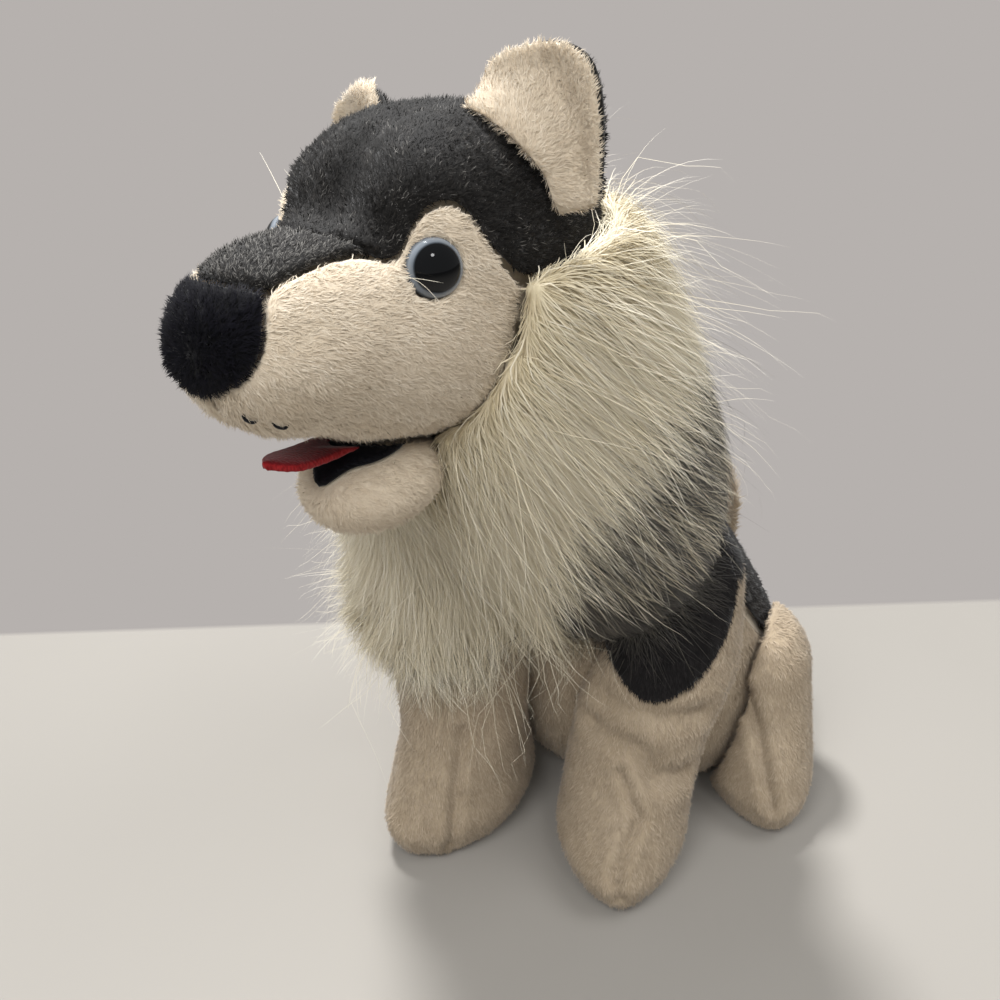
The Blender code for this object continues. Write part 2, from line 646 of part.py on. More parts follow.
def leg_rings(levels, base_l, base_t, sign, facing, lean_share, around=22):
    """Level rings of a leg: height, half-width, half-length, shift back, shift out."""
    turn = np.linspace(0, 2 * math.pi, around, endpoint=False)
    rings = []
    for z, half_width, half_length, back, out in levels:
        taper = PAW_TAPER if z < PAW_TOP else 0.0
        across = half_width * np.cos(turn) * (1 - taper * np.clip(-np.sin(turn), 0, 1) ** 2)
        along = half_length * np.sin(turn)
        l = base_l + sign * out + across * math.cos(facing) - along * math.sin(facing)
        t = base_t + back * lean_share + across * math.sin(facing) + along * math.cos(facing)
        rings.append(body_point(l, t, np.full(around, z)))
    return np.array(rings)


FRONT_LEVELS = [
    (0.0000, PAW_HALF_WIDTH - 0.010, PAW_HALF_LENGTH - 0.009, -PAW_FORWARD, 0.000),
    (0.0050, PAW_HALF_WIDTH - 0.004, PAW_HALF_LENGTH - 0.004, -PAW_FORWARD, 0.000),
    (0.0170, PAW_HALF_WIDTH, PAW_HALF_LENGTH, -PAW_FORWARD, 0.000),
    (0.0320, PAW_HALF_WIDTH - 0.001, PAW_HALF_LENGTH - 0.005, 0.003, 0.000),
    (0.0500, ANKLE_RADIUS, ANKLE_RADIUS + 0.001, 0.009, 0.000),
    (0.0680, ANKLE_RADIUS + 0.002, ANKLE_RADIUS + 0.002, LEG_LEAN - 0.020, 0.002),
    (0.0880, UPPER_LEG_RADIUS, UPPER_LEG_RADIUS, LEG_LEAN - 0.011, 0.0045),
    (0.1120, UPPER_LEG_RADIUS - 0.0015, UPPER_LEG_RADIUS + 0.001, LEG_LEAN - 0.004, 0.0035),
    (LEG_HEIGHT - 0.026, UPPER_LEG_RADIUS - 0.003, UPPER_LEG_RADIUS, LEG_LEAN, 0.003),
    (LEG_HEIGHT - 0.011, UPPER_LEG_RADIUS - 0.010, UPPER_LEG_RADIUS - 0.008, LEG_LEAN + 0.002, 0.000),
    (LEG_HEIGHT - 0.002, 0.011, 0.012, LEG_LEAN + 0.003, 0.000),
]
HIND_LEVELS = [
    (0.0000, HIND_HALF_WIDTH - 0.008, HIND_HALF_LENGTH - 0.009, 0.000, 0.000),
    (0.0050, HIND_HALF_WIDTH - 0.003, HIND_HALF_LENGTH - 0.003, 0.000, 0.000),
    (0.0170, HIND_HALF_WIDTH, HIND_HALF_LENGTH, 0.000, 0.000),
    (0.0320, HIND_HALF_WIDTH - 0.0005, HIND_HALF_LENGTH - 0.004, 0.004, -0.002),
    (0.0480, HIND_HALF_WIDTH - 0.001, HIND_HALF_LENGTH - 0.010, 0.010, -0.005),
    (HIND_HEIGHT - 0.016, HIND_HALF_WIDTH - 0.002, HIND_HALF_LENGTH - 0.014, 0.013, -0.007),
    (HIND_HEIGHT - 0.006, HIND_HALF_WIDTH - 0.007, HIND_HALF_LENGTH - 0.019, 0.015, -0.009),
    (HIND_HEIGHT - 0.001, 0.005, 0.006, 0.016, -0.009),
]
TOE_TURN = {"left": math.radians(22.0), "right": math.radians(-12.0)}
LEAN_SHARE = {"left": 1.0, "right": 0.65}


def front_leg_rings(side, sign):
    return leg_rings(FRONT_LEVELS, sign * PAW_SPACING / 2, sign * PAW_STAGGER / 2, sign,
                     TOE_TURN[side], LEAN_SHARE[side])


def make_front_leg(side, sign, torso_room, materials):
    """A stuffed cream leg with a grey patch sewn over its shoulder."""
    rings = front_leg_rings(side, sign)
    leg = make_bag("front_leg_" + side, rings, materials["cream"])
    cut(leg, torso_room)
    patch, ways = patch_grid(rings, sign)
    outer = patch + ways * (SEAT_GAP + PATCH_THICKNESS)
    shoulder = make_panel("shoulder_patch_" + side, outer, patch - ways * SEAT_GAP, materials["grey"])
    middles = rings.mean(axis=1, keepdims=True)
    spokes = rings - middles
    wider = 1 + SEAT_GAP / np.linalg.norm(spokes, axis=-1, keepdims=True)
    leg_room = hide_cutter(make_bag("leg_room_" + side, middles + spokes * wider, materials["cream"]))
    for cutter in (torso_room, leg_room):
        cut(shoulder, cutter)
    return leg


# The shoulder patch: for each height, from its tip up, the angles between which it lies.
# Angle 0 is straight out to the dog's side, and it grows towards its front.
PATCH_ROWS = [(0.090, 70, 80), (0.096, 50, 98), (0.106, 33, 114), (0.118, 20, 124),
              (0.131, 10, 130), (LEG_HEIGHT - 0.009, 0, 134)]


def patch_grid(rings, sign):
    """Points on the leg's surface over the patch, and the way out at each."""
    around = rings.shape[1]
    centres = rings.mean(axis=1)
    heights = rings[:, 0, 2]
    outward = BODY_LEFT * sign
    forward = -BODY_BACK
    points = []
    normals = []
    for z, low, high in PATCH_ROWS:
        line = []
        ways = []
        centre = np.array([np.interp(z, heights, centres[:, i]) for i in range(3)])
        level = np.array([[np.interp(z, heights, rings[:, j, i]) for i in range(3)]
                          for j in range(around)])
        spokes = level - centre
        angles = np.degrees(np.arctan2(spokes @ forward, spokes @ outward))
        order = np.argsort(angles)
        reach = np.linalg.norm(spokes[order], axis=1)
        for angle in np.linspace(low, high, 8):
            radius = np.interp(angle, angles[order], reach, period=360)
            way = outward * math.cos(math.radians(angle)) + forward * math.sin(math.radians(angle))
            line.append(centre + way * radius)
            ways.append(way)
        points.append(line)
        normals.append(ways)
    return np.array(points), np.array(normals)


def make_hind_leg(side, sign, torso_room, materials):
    rings = leg_rings(HIND_LEVELS, HIND_SHIFT + sign * HIND_SPACING / 2, HIND_BACK, sign,
                      sign * HIND_SPLAY, 1.0)
    leg = make_bag("hind_leg_" + side, rings, materials["cream"])
    cut(leg, torso_room)


# Tail: sideways, back, height and radius along it, from its seam to its tip
TAIL_LINE = [(0.008, 0.150, 0.030, TAIL_RADIUS - 0.006), (0.011, 0.163, 0.048, TAIL_RADIUS - 0.001),
             (0.015, 0.160, 0.074, TAIL_RADIUS), (0.019, 0.146, 0.098, TAIL_RADIUS),
             (0.023, 0.132, 0.118, TAIL_RADIUS - 0.003), (0.026, 0.123, 0.132, TAIL_RADIUS - 0.009),
             (0.027, 0.119, 0.139, 0.0020)]


def make_tail(torso_room, material):
    line = smooth_path(TAIL_LINE, 13)
    centres = body_point(line[:, 0], line[:, 1], line[:, 2])
    turn = np.linspace(0, 2 * math.pi, 16, endpoint=False)
    rings = []
    for i, centre in enumerate(centres):
        ahead = centres[min(i + 1, len(centres) - 1)] - centres[max(i - 1, 0)]
        ahead /= np.linalg.norm(ahead)
        across = np.cross(ahead, BODY_BACK)
        across /= np.linalg.norm(across)
        upright = np.cross(across, ahead)
        radius = line[i, 3]
        rings.append(centre + radius * (np.cos(turn)[:, None] * across
                                        + np.sin(turn)[:, None] * upright))
    tail = make_bag("tail", rings, material)
    cut(tail, torso_room)


# Ruff: rings round the neck's own slanting axis

RUFF_BACK = 0.014
RUFF_HEIGHT = 0.122
RUFF_AXIS = np.array([-0.546, 0.838])
RUFF_ACROSS = np.array([0.838, 0.546])
RUFF_DRIFT = 0.028
RUFF_DRIFT_LENGTH = 0.150
RUFF_FOOT = [(-90, 0.010), (-50, 0.004), (-15, 0.004), (15, 0.012), (50, 0.036), (90, 0.050)]


def ruff_top(turn):
    """How far up the neck's axis the head's seam lies, at each angle round the axis."""
    seam = np.vstack([smooth_path(RUFF_SEAM[::-1], 12), smooth_path(NAPE_EDGE, 12)[1:]])
    angles = []
    heights = []
    for sign in (1, -1):
        spots = head_points(seam * np.array([sign, 1, 1])) - np.array([BODY_X, BODY_Y, 0])
        flat = np.stack([spots @ BODY_BACK - RUFF_BACK, spots[:, 2] - RUFF_HEIGHT], axis=-1)
        along = flat @ RUFF_AXIS
        across = flat @ RUFF_ACROSS - RUFF_DRIFT * along / RUFF_DRIFT_LENGTH
        angles.append(np.arctan2(across, spots @ BODY_LEFT))
        heights.append(along)
    angles = np.concatenate(angles) % (2 * math.pi)
    order = np.argsort(angles)
    return np.interp(turn, angles[order], np.concatenate(heights)[order], period=2 * math.pi) + RUFF_LAP


def make_ruff(trees, cutters, material):
    """A thick collar of long pile from the head's seam down over chest and shoulders."""
    around, rows = 32, 8
    turn = np.linspace(0, 2 * math.pi, around, endpoint=False)
    bend = np.degrees(np.arcsin(np.clip(np.sin(turn), -1, 1)))
    top = ruff_top(turn)
    foot = np.interp(bend, [p[0] for p in RUFF_FOOT], [p[1] for p in RUFF_FOOT])
    origins = np.zeros((rows, around, 3))
    ways = np.zeros((rows, around, 3))
    reach = np.zeros((rows, around))
    for k in range(rows):
        along = foot + (top - foot) * k / (rows - 1)
        for j in range(around):
            drift = RUFF_DRIFT * along[j] / RUFF_DRIFT_LENGTH
            t, z = np.array([RUFF_BACK, RUFF_HEIGHT]) + RUFF_AXIS * along[j] + RUFF_ACROSS * drift
            spot = body_point(0.0, t, z)
            way = (math.cos(turn[j]) * BODY_LEFT
                   + math.sin(turn[j]) * (RUFF_ACROSS[0] * BODY_BACK + RUFF_ACROSS[1] * BODY_UP))
            origins[k, j] = spot
            ways[k, j] = way
            reach[k, j] = farthest_hit(trees, spot, way)
    envelope = spread(reach)
    inner = np.maximum(relax(envelope), envelope) + RUFF_GAP
    share = np.linspace(0, 1, rows)[:, None]
    depth = (RUFF_HEM * (1 - share) + RUFF_EDGE * share + RUFF_SWELL * np.sin(math.pi * share) ** 1.2)
    outer = relax(relax(inner + depth))
    outer = np.maximum(outer, inner + RUFF_EDGE)
    grids = [origins + ways * radius[..., None] for radius in (outer, inner)]
    verts = np.vstack([grid.reshape(-1, 3) for grid in grids])
    size = rows * around
    faces = grid_faces(rows, around, 0, True)
    faces += [tuple(reversed(f)) for f in grid_faces(rows, around, size, True)]
    for start in (0, (rows - 1) * around):
        for j in range(around):
            k = (j + 1) % around
            faces.append((start + j, start + k, start + k + size, start + j + size))
    ruff = make_object("ruff", verts, faces, material)
    for cutter in cutters:
        cut(ruff, cutter)


def farthest_hit(trees, spot, way):
    """How far along a line the outermost of the bodies under the ruff still reaches."""
    farthest = 0.0
    for tree in trees:
        hit = tree.ray_cast(Vector(spot + way * 0.16), Vector(-way), 0.16)
        if hit[0] is not None:
            farthest = max(farthest, 0.16 - hit[3])
    return farthest


def neighbours(values):
    padded = np.vstack([values[:1], values, values[-1:]])
    return [padded[i : i + len(values)] for i in range(3)]


def spread(values):
    """Each value raised to the largest near it."""
    return np.max([np.roll(row, j, axis=1) for row in neighbours(values) for j in (-1, 0, 1)], axis=0)


def relax(values):
    """Each value averaged with those near it."""
    return np.mean([np.roll(row, j, axis=1) for row in neighbours(values) for j in (-1, 0, 1)], axis=0)


def mesh_tree(obj):
    mesh = obj.data
    return tree_of([v.co for v in mesh.vertices], [tuple(p.vertices) for p in mesh.polygons])


def move_to_origin():
    """Centres the toy over the origin, with everything that shapes it."""
    bpy.context.view_layer.update()
    graph = bpy.context.evaluated_depsgraph_get()
    shown = [obj.evaluated_get(graph) for obj in bpy.data.objects if not obj.hide_render]
    corners = np.array([obj.matrix_world @ Vector(corner) for obj in shown for corner in obj.bound_box])
    middle = (corners.min(axis=0) + corners.max(axis=0)) / 2
    for obj in bpy.data.objects:
        obj.location = (-middle[0], -middle[1], 0)


def main():
    clear_scene()
    materials = {
        "cream": make_material("cream_pile", (0.62, 0.52, 0.39), 0.95, 0.4),
        "grey": make_material("grey_pile", (0.055, 0.053, 0.055), 0.95, 0.3),
        "ruff": make_material("long_pile", (0.60, 0.52, 0.36), 0.9, 0.4),
        "black": make_material("black_pile", (0.008, 0.009, 0.012), 0.95),
        "red": make_material("red_felt", (0.30, 0.02, 0.03), 0.95),
        "eye": make_material("eye_plastic", (0.010, 0.011, 0.013), 0.06),
        "washer": make_material("washer_plastic", (0.75, 0.75, 0.72), 0.5),
        "stuffing": make_material("polyester_stuffing", (0.85, 0.85, 0.83), 1.0),
    }
    head_room = hide_cutter(make_head_solid("head_room", SEAT_GAP + 0.0006, materials["stuffing"], 17, 26))
    stuffing, panels = make_head(materials)
    for side, sign in (("left", 1), ("right", -1)):
        sewn = [stuffing] + [p for p in panels if p.name in ("mask_panel", "face_panel_" + side)]
        make_eye(side, sign, sewn, materials)
        make_ear(side, sign, head_room, materials)
    make_mouth(head_room, materials)
    make_torso(head_room, materials)
    room = torso_rings(SEAT_GAP + 0.0008, SEAT_HEIGHT, 0.25, 19, 32)
    room[0, :, 2] = -SKIN
    torso_room = hide_cutter(make_bag("torso_room", room, materials["stuffing"]))
    bags = []
    for side, sign in (("left", 1), ("right", -1)):
        bags.append(make_front_leg(side, sign, torso_room, materials))
        make_hind_leg(side, sign, torso_room, materials)
    make_tail(torso_room, materials["cream"])
    patches = [bpy.data.objects["shoulder_patch_" + side] for side in ("left", "right")]
    trees = [mesh_tree(obj) for obj in [head_room, torso_room] + bags + patches]
    jaw_room = hide_cutter(make_bag("jaw_room", jaw_rings(SEAT_GAP), materials["cream"]))
    make_ruff(trees, [jaw_room], materials["ruff"])
    move_to_origin()


main()
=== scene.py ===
import math

import bpy
import numpy as np
from mathutils import Matrix, Vector
from mathutils.bvhtree import BVHTree
from mathutils.kdtree import KDTree


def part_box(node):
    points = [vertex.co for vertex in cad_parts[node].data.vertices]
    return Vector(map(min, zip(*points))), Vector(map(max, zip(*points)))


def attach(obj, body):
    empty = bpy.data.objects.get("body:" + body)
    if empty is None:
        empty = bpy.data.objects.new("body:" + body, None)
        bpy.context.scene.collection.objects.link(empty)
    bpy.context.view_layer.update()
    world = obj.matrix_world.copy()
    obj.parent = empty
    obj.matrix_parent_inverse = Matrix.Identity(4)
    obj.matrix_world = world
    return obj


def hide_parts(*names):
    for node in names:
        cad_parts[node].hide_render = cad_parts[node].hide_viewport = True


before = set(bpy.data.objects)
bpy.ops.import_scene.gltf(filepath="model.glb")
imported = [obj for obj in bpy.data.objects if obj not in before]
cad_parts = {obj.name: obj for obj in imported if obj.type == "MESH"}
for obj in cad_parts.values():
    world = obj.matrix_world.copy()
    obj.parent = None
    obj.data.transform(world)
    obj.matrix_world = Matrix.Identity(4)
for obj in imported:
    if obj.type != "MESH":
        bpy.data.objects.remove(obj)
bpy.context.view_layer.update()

scene = bpy.context.scene
scene.view_settings.view_transform = "Standard"


# Small helpers

def deselectAll():
    bpy.ops.object.select_all(action="DESELECT")


def addObject(name, data):
    piece = bpy.data.objects.new(name, data)
    scene.collection.objects.link(piece)
    return piece


def makeActive(piece):
    deselectAll()
    piece.select_set(True)
    bpy.context.view_layer.objects.active = piece


def colour(red, green, blue):  # screen values 0 to 255 in, what a shader socket takes out
    parts = [v / 255 for v in (red, green, blue)]
    return tuple(v / 12.92 if v <= 0.04045 else ((v + 0.055) / 1.055) ** 2.4 for v in parts) + (1.0,)


def shades(*stops):  # a ramp's stops, each given as its place and its screen values
    return [(place, colour(*values)) for place, *values in stops]


def unit(vectors):
    return vectors / np.maximum(np.linalg.norm(vectors, axis=-1, keepdims=True), 1e-12)


def smoothStep(low, high, value):
    t = np.clip((value - low) / (high - low), 0, 1)
    return t * t * (3 - 2 * t)


def applyAll(piece):
    makeActive(piece)
    for modifier in list(piece.modifiers):
        bpy.ops.object.modifier_apply(modifier=modifier.name)


def meshArrays(piece):
    mesh = piece.data
    mesh.calc_loop_triangles()
    points = np.empty(len(mesh.vertices) * 3)
    mesh.vertices.foreach_get("co", points)
    normals = np.empty(len(mesh.vertices) * 3)
    mesh.vertices.foreach_get("normal", normals)
    faces = np.empty(len(mesh.loop_triangles) * 3, int)
    mesh.loop_triangles.foreach_get("vertices", faces)
    return points.reshape(-1, 3), normals.reshape(-1, 3), faces.reshape(-1, 3)


def treeOf(pieces):
    points, faces, start = [], [], 0
    for piece in pieces:
        own, _, corners = meshArrays(piece)
        points.append(own)
        faces.append(corners + start)
        start += len(own)
    return BVHTree.FromPolygons(np.vstack(points).tolist(), np.vstack(faces).tolist())


# Where the toy's parts lie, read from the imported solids

eyeCorners = [np.array(corner) for side in ("left", "right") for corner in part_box("eye_" + side)]
eyeMiddle = (np.min(eyeCorners, axis=0) + np.max(eyeCorners, axis=0)) / 2
headCentre = eyeMiddle + np.array([0, 0.0312, -0.0056])
bodyTurn = math.radians(6.0)  # the body faces a little to the dog's right of its snout
bodyLeft = np.array([math.cos(bodyTurn), math.sin(bodyTurn), 0])
bodyBack = np.array([-math.sin(bodyTurn), math.cos(bodyTurn), 0])
upward = np.array([0, 0, 1.0])
bodyFoot = np.array([headCentre[0] - 0.0076, headCentre[1] + 0.0520, 0])
leanSine, leanCosine = 0.546, 0.838  # the neck leans forwards by 33 degrees
ruffAxis = -leanSine * bodyBack + leanCosine * upward
ruffAcross = leanCosine * bodyBack + leanSine * upward
ruffFoot = bodyFoot + 0.014 * bodyBack + 0.122 * upward
ruffDrift, ruffRise = 0.028, 0.150  # the neck's core moves back this far over this height


def ruffPlace(points):  # angle round the neck, 0 at the dog's left and 90 at its back, and height along it
    away = points - ruffFoot
    along = away @ ruffAxis
    across = away @ ruffAcross - ruffDrift * along / ruffRise
    return np.degrees(np.arctan2(across, away @ bodyLeft)), along


def ruffRadial(points):  # the way out from the neck's core
    away = points - ruffFoot
    axial = away @ ruffAxis
    return unit(away - axial[:, None] * ruffAxis - (ruffDrift * axial / ruffRise)[:, None] * ruffAcross)


# Materials

def addNode(tree, kind, values, **settings):
    # Each value is a constant for a socket, or another node's output that is linked to it.
    node = tree.nodes.new("ShaderNode" + kind)
    for name, value in settings.items():
        setattr(node, name, value)
    for socket, value in values.items():
        if isinstance(value, bpy.types.NodeSocket):
            tree.links.new(value, node.inputs[socket])
        else:
            node.inputs[socket].default_value = value
    return node


def newMaterial(name, roughness, sheen=0.0, sheenRoughness=0.5, specular=0.3):
    material = bpy.data.materials.new(name)
    material.use_nodes = True
    shader = material.node_tree.nodes["Principled BSDF"]
    shader.inputs["Roughness"].default_value = roughness
    shader.inputs["Sheen Weight"].default_value = sheen
    shader.inputs["Sheen Roughness"].default_value = sheenRoughness
    shader.inputs["Specular IOR Level"].default_value = specular
    return material, material.node_tree, shader


def newGroup(name, inputs, outputs):
    tree = bpy.data.node_groups.new(name, "ShaderNodeTree")
    for way, sockets in (("INPUT", inputs), ("OUTPUT", outputs)):
        for label, kind in sockets.items():
            tree.interface.new_socket(name=label, in_out=way, socket_type="NodeSocket" + kind)
    return tree, tree.nodes.new("NodeGroupInput").outputs, tree.nodes.new("NodeGroupOutput").inputs


def addRamp(tree, source, stops):
    ramp = addNode(tree, "ValToRGB", {"Fac": source})
    elements = ramp.color_ramp.elements
    elements[0].position, elements[0].color = stops[0]
    elements[1].position, elements[1].color = stops[-1]
    for place, shade in stops[1:-1]:
        elements.new(place).color = shade
    return ramp.outputs["Color"]


def addMix(tree, factor, first, second, blend="MIX"):
    values = {"Factor": factor, "A": first, "B": second}
    return addNode(tree, "Mix", values, data_type="RGBA", blend_type=blend).outputs["Result"]


def addSpan(tree, value, low, high, start=0.0):
    values = {"Value": value, "From Min": low, "From Max": high, "To Min": start}
    return addNode(tree, "MapRange", values).outputs["Result"]


def addBump(tree, shader, height, strength, distance):
    relief = addNode(tree, "Bump", {"Height": height, "Strength": strength, "Distance": distance})
    tree.links.new(relief.outputs["Normal"], shader.inputs["Normal"])


def objectPlace(tree):
    return addNode(tree, "TexCoord", {}).outputs["Object"]


def uvParts(tree):
    place = addNode(tree, "UVMap", {}, uv_map="OFBake")
    return addNode(tree, "SeparateXYZ", {"Vector": place.outputs["UV"]}).outputs


def attributeOf(tree, name):
    return addNode(tree, "Attribute", {}, attribute_name=name).outputs["Fac"]


def addNoise(tree, source, scale, detail, stretch=(1, 1, 1)):
    mapping = addNode(tree, "Mapping", {"Vector": source, "Scale": stretch})
    values = {"Vector": mapping.outputs["Vector"], "Scale": scale, "Detail": detail}
    return addNode(tree, "TexNoise", values).outputs["Fac"]


black, white = (0, 0, 0, 1), (1, 1, 1, 1)


def makeRootShadowBlend():
    # From the root's colour to the tip's, quickest near the root. The darker root colours are painted shade:
    # the pile's own shadow deep among its strands.
    tree, given, put = newGroup("Root shadow blend", {"Root": "Color", "Tip": "Color", "Rise": "Float"},
                                {"Color": "Color"})
    rise = addRamp(tree, given["Rise"], [(0.0, black), (0.35, (0.45, 0.45, 0.45, 1)), (1.0, white)])
    tree.links.new(addMix(tree, rise, given["Root"], given["Tip"]), put["Color"])
    return tree


def makePileGround():
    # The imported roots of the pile: soft blotches, and a fine grain with a nap down the piece.
    inputs = {"Place": "Vector", "Low": "Color", "High": "Color", "Darkest grain": "Float"}
    tree, given, put = newGroup("Pile ground", inputs, {"Color": "Color", "Grain": "Float"})
    blotches = addNoise(tree, given["Place"], 70, 3)
    grain = addNoise(tree, given["Place"], 1500, 4, (1, 1, 0.45))
    base = addMix(tree, addSpan(tree, blotches, 0.3, 0.7), given["Low"], given["High"])
    shade = addSpan(tree, grain, 0.25, 0.75, given["Darkest grain"])
    tree.links.new(addMix(tree, 1.0, base, shade, "MULTIPLY"), put["Color"])
    tree.links.new(grain, put["Grain"])
    return tree


rootShadowBlend = makeRootShadowBlend()
pileGround = makePileGround()


def pileMaterial(name, rootStops, tipStops, roughness=0.75, sheen=0.2, specular=0.25):
    # Across the UV map lies the strand's own tone, and up it the way from root to tip; the darker roots are
    # painted shade.
    material, tree, shader = newMaterial(name, roughness, sheen, 0.4, specular)
    parts = uvParts(tree)
    values = {"Root": addRamp(tree, parts["X"], shades(*rootStops)),
              "Tip": addRamp(tree, parts["X"], shades(*tipStops)), "Rise": parts["Y"]}
    shade = addNode(tree, "Group", values, node_tree=rootShadowBlend)
    tree.links.new(shade.outputs["Color"], shader.inputs["Base Color"])
    return material


def backingMaterial(name, low, high, darkest=0.45, fleck=None, darkened=None):
    material, tree, shader = newMaterial(name, 0.95, sheen=0.3, specular=0.1)
    place = objectPlace(tree)
    values = {"Place": place, "Low": colour(*low), "High": colour(*high), "Darkest grain": darkest}
    ground = addNode(tree, "Group", values, node_tree=pileGround)
    result = ground.outputs["Color"]
    if fleck:
        chosen = addRamp(tree, addNoise(tree, place, 2600, 1), [(0.66, black), (0.72, white)])
        result = addMix(tree, chosen, result, colour(*fleck))
    if darkened:
        result = addMix(tree, attributeOf(tree, darkened), result, colour(26, 24, 25))
    tree.links.new(result, shader.inputs["Base Color"])
    addBump(tree, shader, ground.outputs["Grain"], 0.3, 0.0006)
    return material


def plainMaterial(name, finish, noise, stops, otherStops=None, share=None, relief=None):
    # Noise between two tones, or between two other tones where the attribute called share says so.
    material, tree, shader = newMaterial(name, *finish)
    grain = addNoise(tree, objectPlace(tree), *noise)
    result = addRamp(tree, grain, stops)
    if share:
        result = addMix(tree, attributeOf(tree, share), result, addRamp(tree, grain, otherStops))
    tree.links.new(result, shader.inputs["Base Color"])
    if relief:
        addBump(tree, shader, grain, *relief)
    return material


# Skins: a smooth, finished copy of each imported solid

def copyNode(node, name):
    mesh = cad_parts[node].data.copy()
    mesh.name = name
    mesh.materials.clear()
    piece = addObject(name, mesh)
    makeActive(piece)
    bpy.ops.object.mode_set(mode="EDIT")
    bpy.ops.mesh.select_all(action="SELECT")
    bpy.ops.mesh.remove_doubles(threshold=0.00002)
    bpy.ops.mesh.tris_convert_to_quads(face_threshold=math.radians(40), shape_threshold=math.radians(40))
    bpy.ops.object.mode_set(mode="OBJECT")
    if mesh.has_custom_normals:
        bpy.ops.mesh.customdata_custom_splitnormals_clear()
    return piece


def makeSkin(node, name, material, levels=0, voxel=0.0, smoothing=0):
    piece = copyNode(node, name)
    if voxel:
        remesh = piece.modifiers.new("Even mesh", "REMESH")
        remesh.mode = "VOXEL"
        remesh.voxel_size = voxel
    if smoothing:
        relax = piece.modifiers.new("Relax", "SMOOTH")
        relax.factor = 0.5
        relax.iterations = smoothing
    if levels:
        subdivision = piece.modifiers.new("Round off", "SUBSURF")
        subdivision.levels = subdivision.render_levels = levels
    applyAll(piece)
    piece.data.shade_smooth()
    piece.data.materials.append(material)
    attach(piece, "root")
    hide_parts(node)
    return piece


def moveSkin(piece, points):
    piece.data.vertices.foreach_set("co", points.reshape(-1))
    piece.data.update()


def storeShare(piece, name, values):
    share = piece.data.attributes.new(name, "FLOAT", "POINT")
    share.data.foreach_set("value", values)


chinUser = {"lift": 0.0026, "below": (0, 0.017), "ahead": (0.045, 0.062)}


def liftChin(piece):
    # The lip and nose end a little higher than their solids, by the height of the pile on them.
    points = meshArrays(piece)[0]
    away = points - headCentre
    low = smoothStep(*chinUser["below"], -away[:, 2])
    points[:, 2] += chinUser["lift"] * low * smoothStep(*chinUser["ahead"], -away[:, 1])
    moveSkin(piece, points)


def lineGap(points, line):
    # The distance from each point to a line through several places.
    gaps = np.full(len(points), np.inf)
    for start, end in zip(line[:-1], line[1:]):
        run = end - start
        share = np.clip((points - start) @ run / (run @ run), 0, 1)[:, None]
        gaps = np.minimum(gaps, np.linalg.norm(points - start - share * run, axis=1))
    return gaps


swellUser = {"height": 0.28, "place": 2.1}  # a share of the furrow's depth, and times its width


def pressLine(piece, line, depth, width):
    # A crease or seam: a soft furrow along a line, with a slight swell on either side.
    points, normals, _ = meshArrays(piece)
    gaps = lineGap(points, np.array(line))
    swell = swellUser["height"] * np.exp(-((gaps - swellUser["place"] * width) / width) ** 2)
    furrow = np.exp(-(gaps / width) ** 2) - swell
    moveSkin(piece, points - normals * (depth * furrow)[:, None])


def inBox(node, shares):
    low, high = (np.array(corner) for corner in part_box(node))
    return [low + (high - low) * np.array(share) for share in shares]


# Pile: strands that stand on a skin, each one a tapering blade

def scatter(piece, perSquareMm, random, keep=None):
    points, normals, faces = meshArrays(piece)
    corners = points[faces]
    areas = np.linalg.norm(np.cross(corners[:, 1] - corners[:, 0], corners[:, 2] - corners[:, 0]), axis=1) / 2
    if keep is not None:
        areas = areas * keep(corners.mean(axis=1), unit(normals[faces].mean(axis=1)))
    count = int(areas.sum() * 1e6 * perSquareMm)
    chosen = random.choice(len(faces), count, p=areas / areas.sum())
    first, second = random.random((2, count, 1))
    over = first + second > 1
    first = np.where(over, 1 - first, first)
    second = np.where(over, 1 - second, second)
    spread = np.concatenate([1 - first - second, first, second], axis=1)
    roots = (corners[chosen] * spread[..., None]).sum(axis=1)
    ways = unit((normals[faces[chosen]] * spread[..., None]).sum(axis=1))
    return roots, ways


def openBeyond(tree, reach, start=0.0004):
    # Whether a strand has room: nothing of the tree lies within reach along the skin's normal.
    def hit(point, normal):
        return tree.ray_cast(Vector(point + normal * start), Vector(normal), reach)[0] is not None

    def shown(points, normals):
        return 1.0 - np.array([hit(point, normal) for point, normal in zip(points, normals)], float)

    return shown


def growLines(roots, ways, flow, lengths, lifts, sag, steps, random, wander):
    # Each line leaves its root between the skin's normal and the way the nap lies, then sinks.
    nap = flow - ways * (flow * ways).sum(axis=1, keepdims=True)
    nap = unit(unit(nap) + random.normal(0, wander, nap.shape))
    start = unit(ways * np.sin(lifts)[:, None] + nap * np.cos(lifts)[:, None])
    late = unit(nap - sag * upward)
    share = np.linspace(0, 1, steps + 1)[None, :, None]
    bend = share ** 2
    path = (start[:, None] * (share - bend / 2) + late[:, None] * bend / 2)
    return roots[:, None] + path * lengths[:, None, None]


def gather(lines, size, strength, random):
    # Pulls the tips together into locks of about the given number of lines.
    roots = lines[:, 0]
    middles = random.choice(len(roots), max(len(roots) // size, 1), replace=False)
    tree = KDTree(len(middles))
    for i, middle in enumerate(middles):
        tree.insert(roots[middle], i)
    tree.balance()
    nearest = middles[[tree.find(root)[1] for root in roots]]
    share = np.linspace(0, 1, lines.shape[1])[None, :, None]
    pull = strength * share ** 1.3 * random.uniform(0.5, 1.0, (len(roots), 1, 1))
    return lines + (lines[nearest] - lines) * pull


strandUser = {"widths": (0.7, 1.3), "narrowing": 0.85, "above floor": 0.0006, "uv half": 0.004, "uv edge": 0.01}


def strandWidths(user, count, random):
    return user["width"] * random.uniform(*strandUser["widths"], count)


